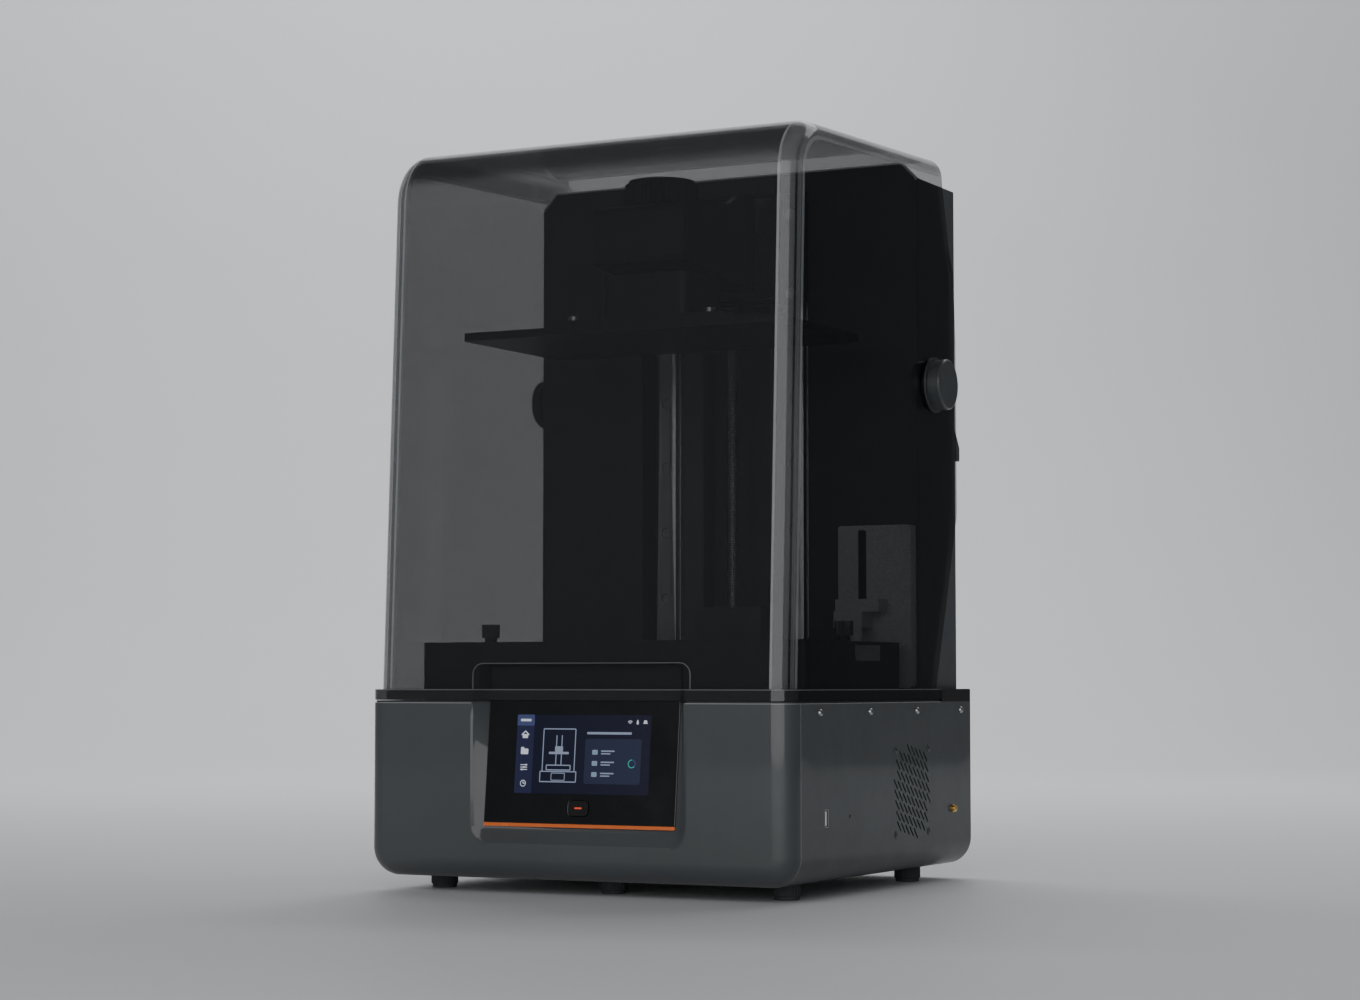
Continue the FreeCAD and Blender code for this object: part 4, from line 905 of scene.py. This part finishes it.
def sidebar_icons():
    """A home, a folder, a spanner-like slider set and a clock, one in each tile."""
    u = 0.065
    parts = [line(u - 0.028, 0.74, u, 0.79), line(u, 0.79, u + 0.028, 0.74)]
    parts += [tile(u - 0.02, u + 0.02, 0.70, 0.75, 0.008)]
    parts += [tile(u - 0.028, u + 0.028, 0.495, 0.565, 0.01)]
    parts += [tile(u - 0.028, u - 0.004, 0.56, 0.585, 0.005)]
    for offset in (-0.03, 0.0, 0.03):
        parts += [line(u - 0.026, 0.33 + offset, u + 0.026, 0.33 + offset, 0.005)]
        knob = u + offset * 0.5
        parts += [tile(knob - 0.004, knob + 0.008, 0.32 + offset, 0.34 + offset, 0.005)]
    parts += ring_parts(u, 0.125, 0.042, 0.033, 0, 360)
    parts += [line(u, 0.125, u, 0.15, 0.005), line(u, 0.125, u + 0.014, 0.125, 0.005)]
    return parts


def printer_drawing():
    """Line drawing of the printer: base, hood, column, platform and vat."""
    parts = frame_lines(0.19, 0.46, 0.15, 0.28) + frame_lines(0.205, 0.445, 0.28, 0.82)
    parts += frame_lines(0.275, 0.375, 0.17, 0.26, 0.005)
    parts += [line(0.305, 0.36, 0.305, 0.74), line(0.345, 0.36, 0.345, 0.74)]
    parts += frame_lines(0.235, 0.415, 0.30, 0.36)
    parts += [tile(0.25, 0.40, 0.50, 0.53, 0.008), tile(0.295, 0.355, 0.53, 0.60, 0.008)]
    return parts


def status_icons():
    """Wireless arcs, a memory stick and a bell."""
    parts = []
    for reach in (0.012, 0.026, 0.040):
        parts += ring_parts(0.845, 0.885, reach + 0.007, reach, 45, 135, 8)
    parts += [tile(0.893, 0.907, 0.885, 0.925, 0.005), tile(0.896, 0.904, 0.925, 0.94, 0.002)]
    parts += [tile(0.945, 0.969, 0.90, 0.935, 0.012), line(0.940, 0.897, 0.974, 0.897, 0.004)]
    return parts


def card_rows():
    """Icon and two plain bars for each row of the card."""
    parts = []
    for v in CARD_ROWS:
        parts += [tile(0.575, 0.615, v - 0.03, v + 0.03, 0.012)]
        parts += [tile(0.64, 0.74, v + 0.006, v + 0.024, 0.006)]
        parts += [tile(0.64, 0.71, v - 0.026, v - 0.010, 0.006)]
    return parts


def card_ticks():
    """A tick on each row's icon."""
    parts = []
    for v in CARD_ROWS:
        parts += [line(0.585, v, 0.593, v - 0.014, 0.005)]
        parts += [line(0.593, v - 0.014, 0.607, v + 0.014, 0.005)]
    return parts


def make_screen():
    back = lit("screen_back", (0.004, 0.005, 0.022), SCREEN_GLOW)
    side = lit("screen_side", (0.016, 0.019, 0.060), SCREEN_GLOW)
    top = lit("screen_tile", (0.055, 0.070, 0.18), SCREEN_GLOW)
    card = lit("screen_card", (0.017, 0.023, 0.056), SCREEN_GLOW)
    white = lit("screen_white", (0.75, 0.80, 0.90), SCREEN_GLOW)
    soft = lit("screen_soft", (0.28, 0.33, 0.46), SCREEN_GLOW)
    teal = lit("screen_teal", (0.02, 0.42, 0.36), SCREEN_GLOW)
    screen_part("screen_ground", [tile(0, 1, 0, 1, 0.012)], 0, back)
    screen_part("screen_sidebar", [tile(0, 0.13, 0, 1, 0.012)], 1, side)
    screen_part("screen_home_tile", [tile(0.0, 0.13, 0.86, 1.0, 0.012)], 2, top)
    screen_part("screen_bars", [tile(0.025, 0.105, 0.915, 0.945, 0.01)], 3, white)
    screen_part("screen_sidebar_icons", sidebar_icons(), 2, white)
    screen_part("screen_drawing", printer_drawing(), 1, soft)
    screen_part("screen_status", status_icons(), 1, white)
    screen_part("screen_heading", [tile(0.53, 0.86, 0.755, 0.785, 0.01)], 1, soft)
    screen_part("screen_card", [tile(0.52, 0.935, 0.13, 0.70, 0.03)], 1, card)
    screen_part("screen_rows", card_rows(), 2, soft)
    screen_part("screen_ticks", card_ticks(), 3, teal)
    screen_part("screen_ring_track", ring_parts(*CARD_RING, 0, 360), 2, top)
    screen_part("screen_ring", ring_parts(*CARD_RING, 90, 320), 3, teal)


def make_button_bar():
    """Glowing bar on the power button."""
    mesh = bmesh.new()
    half, low, high, button_face = 3.4, 12.4, 13.7, -2.5
    outline = round_rect(-half, half, low, high, 0.6)
    plate(mesh, outline, button_face - 0.22, button_face, panel_frame())
    finish_mesh(from_bmesh("power_bar", mesh), "power_button", "accent_orange",
                material=lit("power_glow", (0.85, 0.075, 0.03), 0.8))


# Near-white strip colour on the tower plate's top edge: a painted highlight.
WHITE_EDGE_HIGHLIGHT = glossy("white_edge_highlight", (0.92, 0.93, 0.94), 0.4)
# Light strip colour along the base's joint and wall tops: a painted highlight.
PALE_EDGE_HIGHLIGHT = glossy("pale_edge_highlight", (0.30, 0.31, 0.32), 0.3)
# Lighter strip colour for the notch edge: a painted highlight.
HOOD_EDGE_HIGHLIGHT = glossy("hood_edge_highlight", (0.10, 0.106, 0.11), 0.2)
WHITE_PLASTIC = glossy("white_plastic", (0.85, 0.86, 0.87), 0.35)


make_camera()
make_studio()
dress_cad_nodes()
make_lead_thread()
make_case_screw_heads()
make_arm_bolts()
make_ribbed_feet()
make_connector_details()
make_vat_rating_plate()
make_platform_face()
make_notch_highlight()
make_tower_highlight()
make_vent_filter()
make_base_highlights()
make_screen()
make_button_bar()
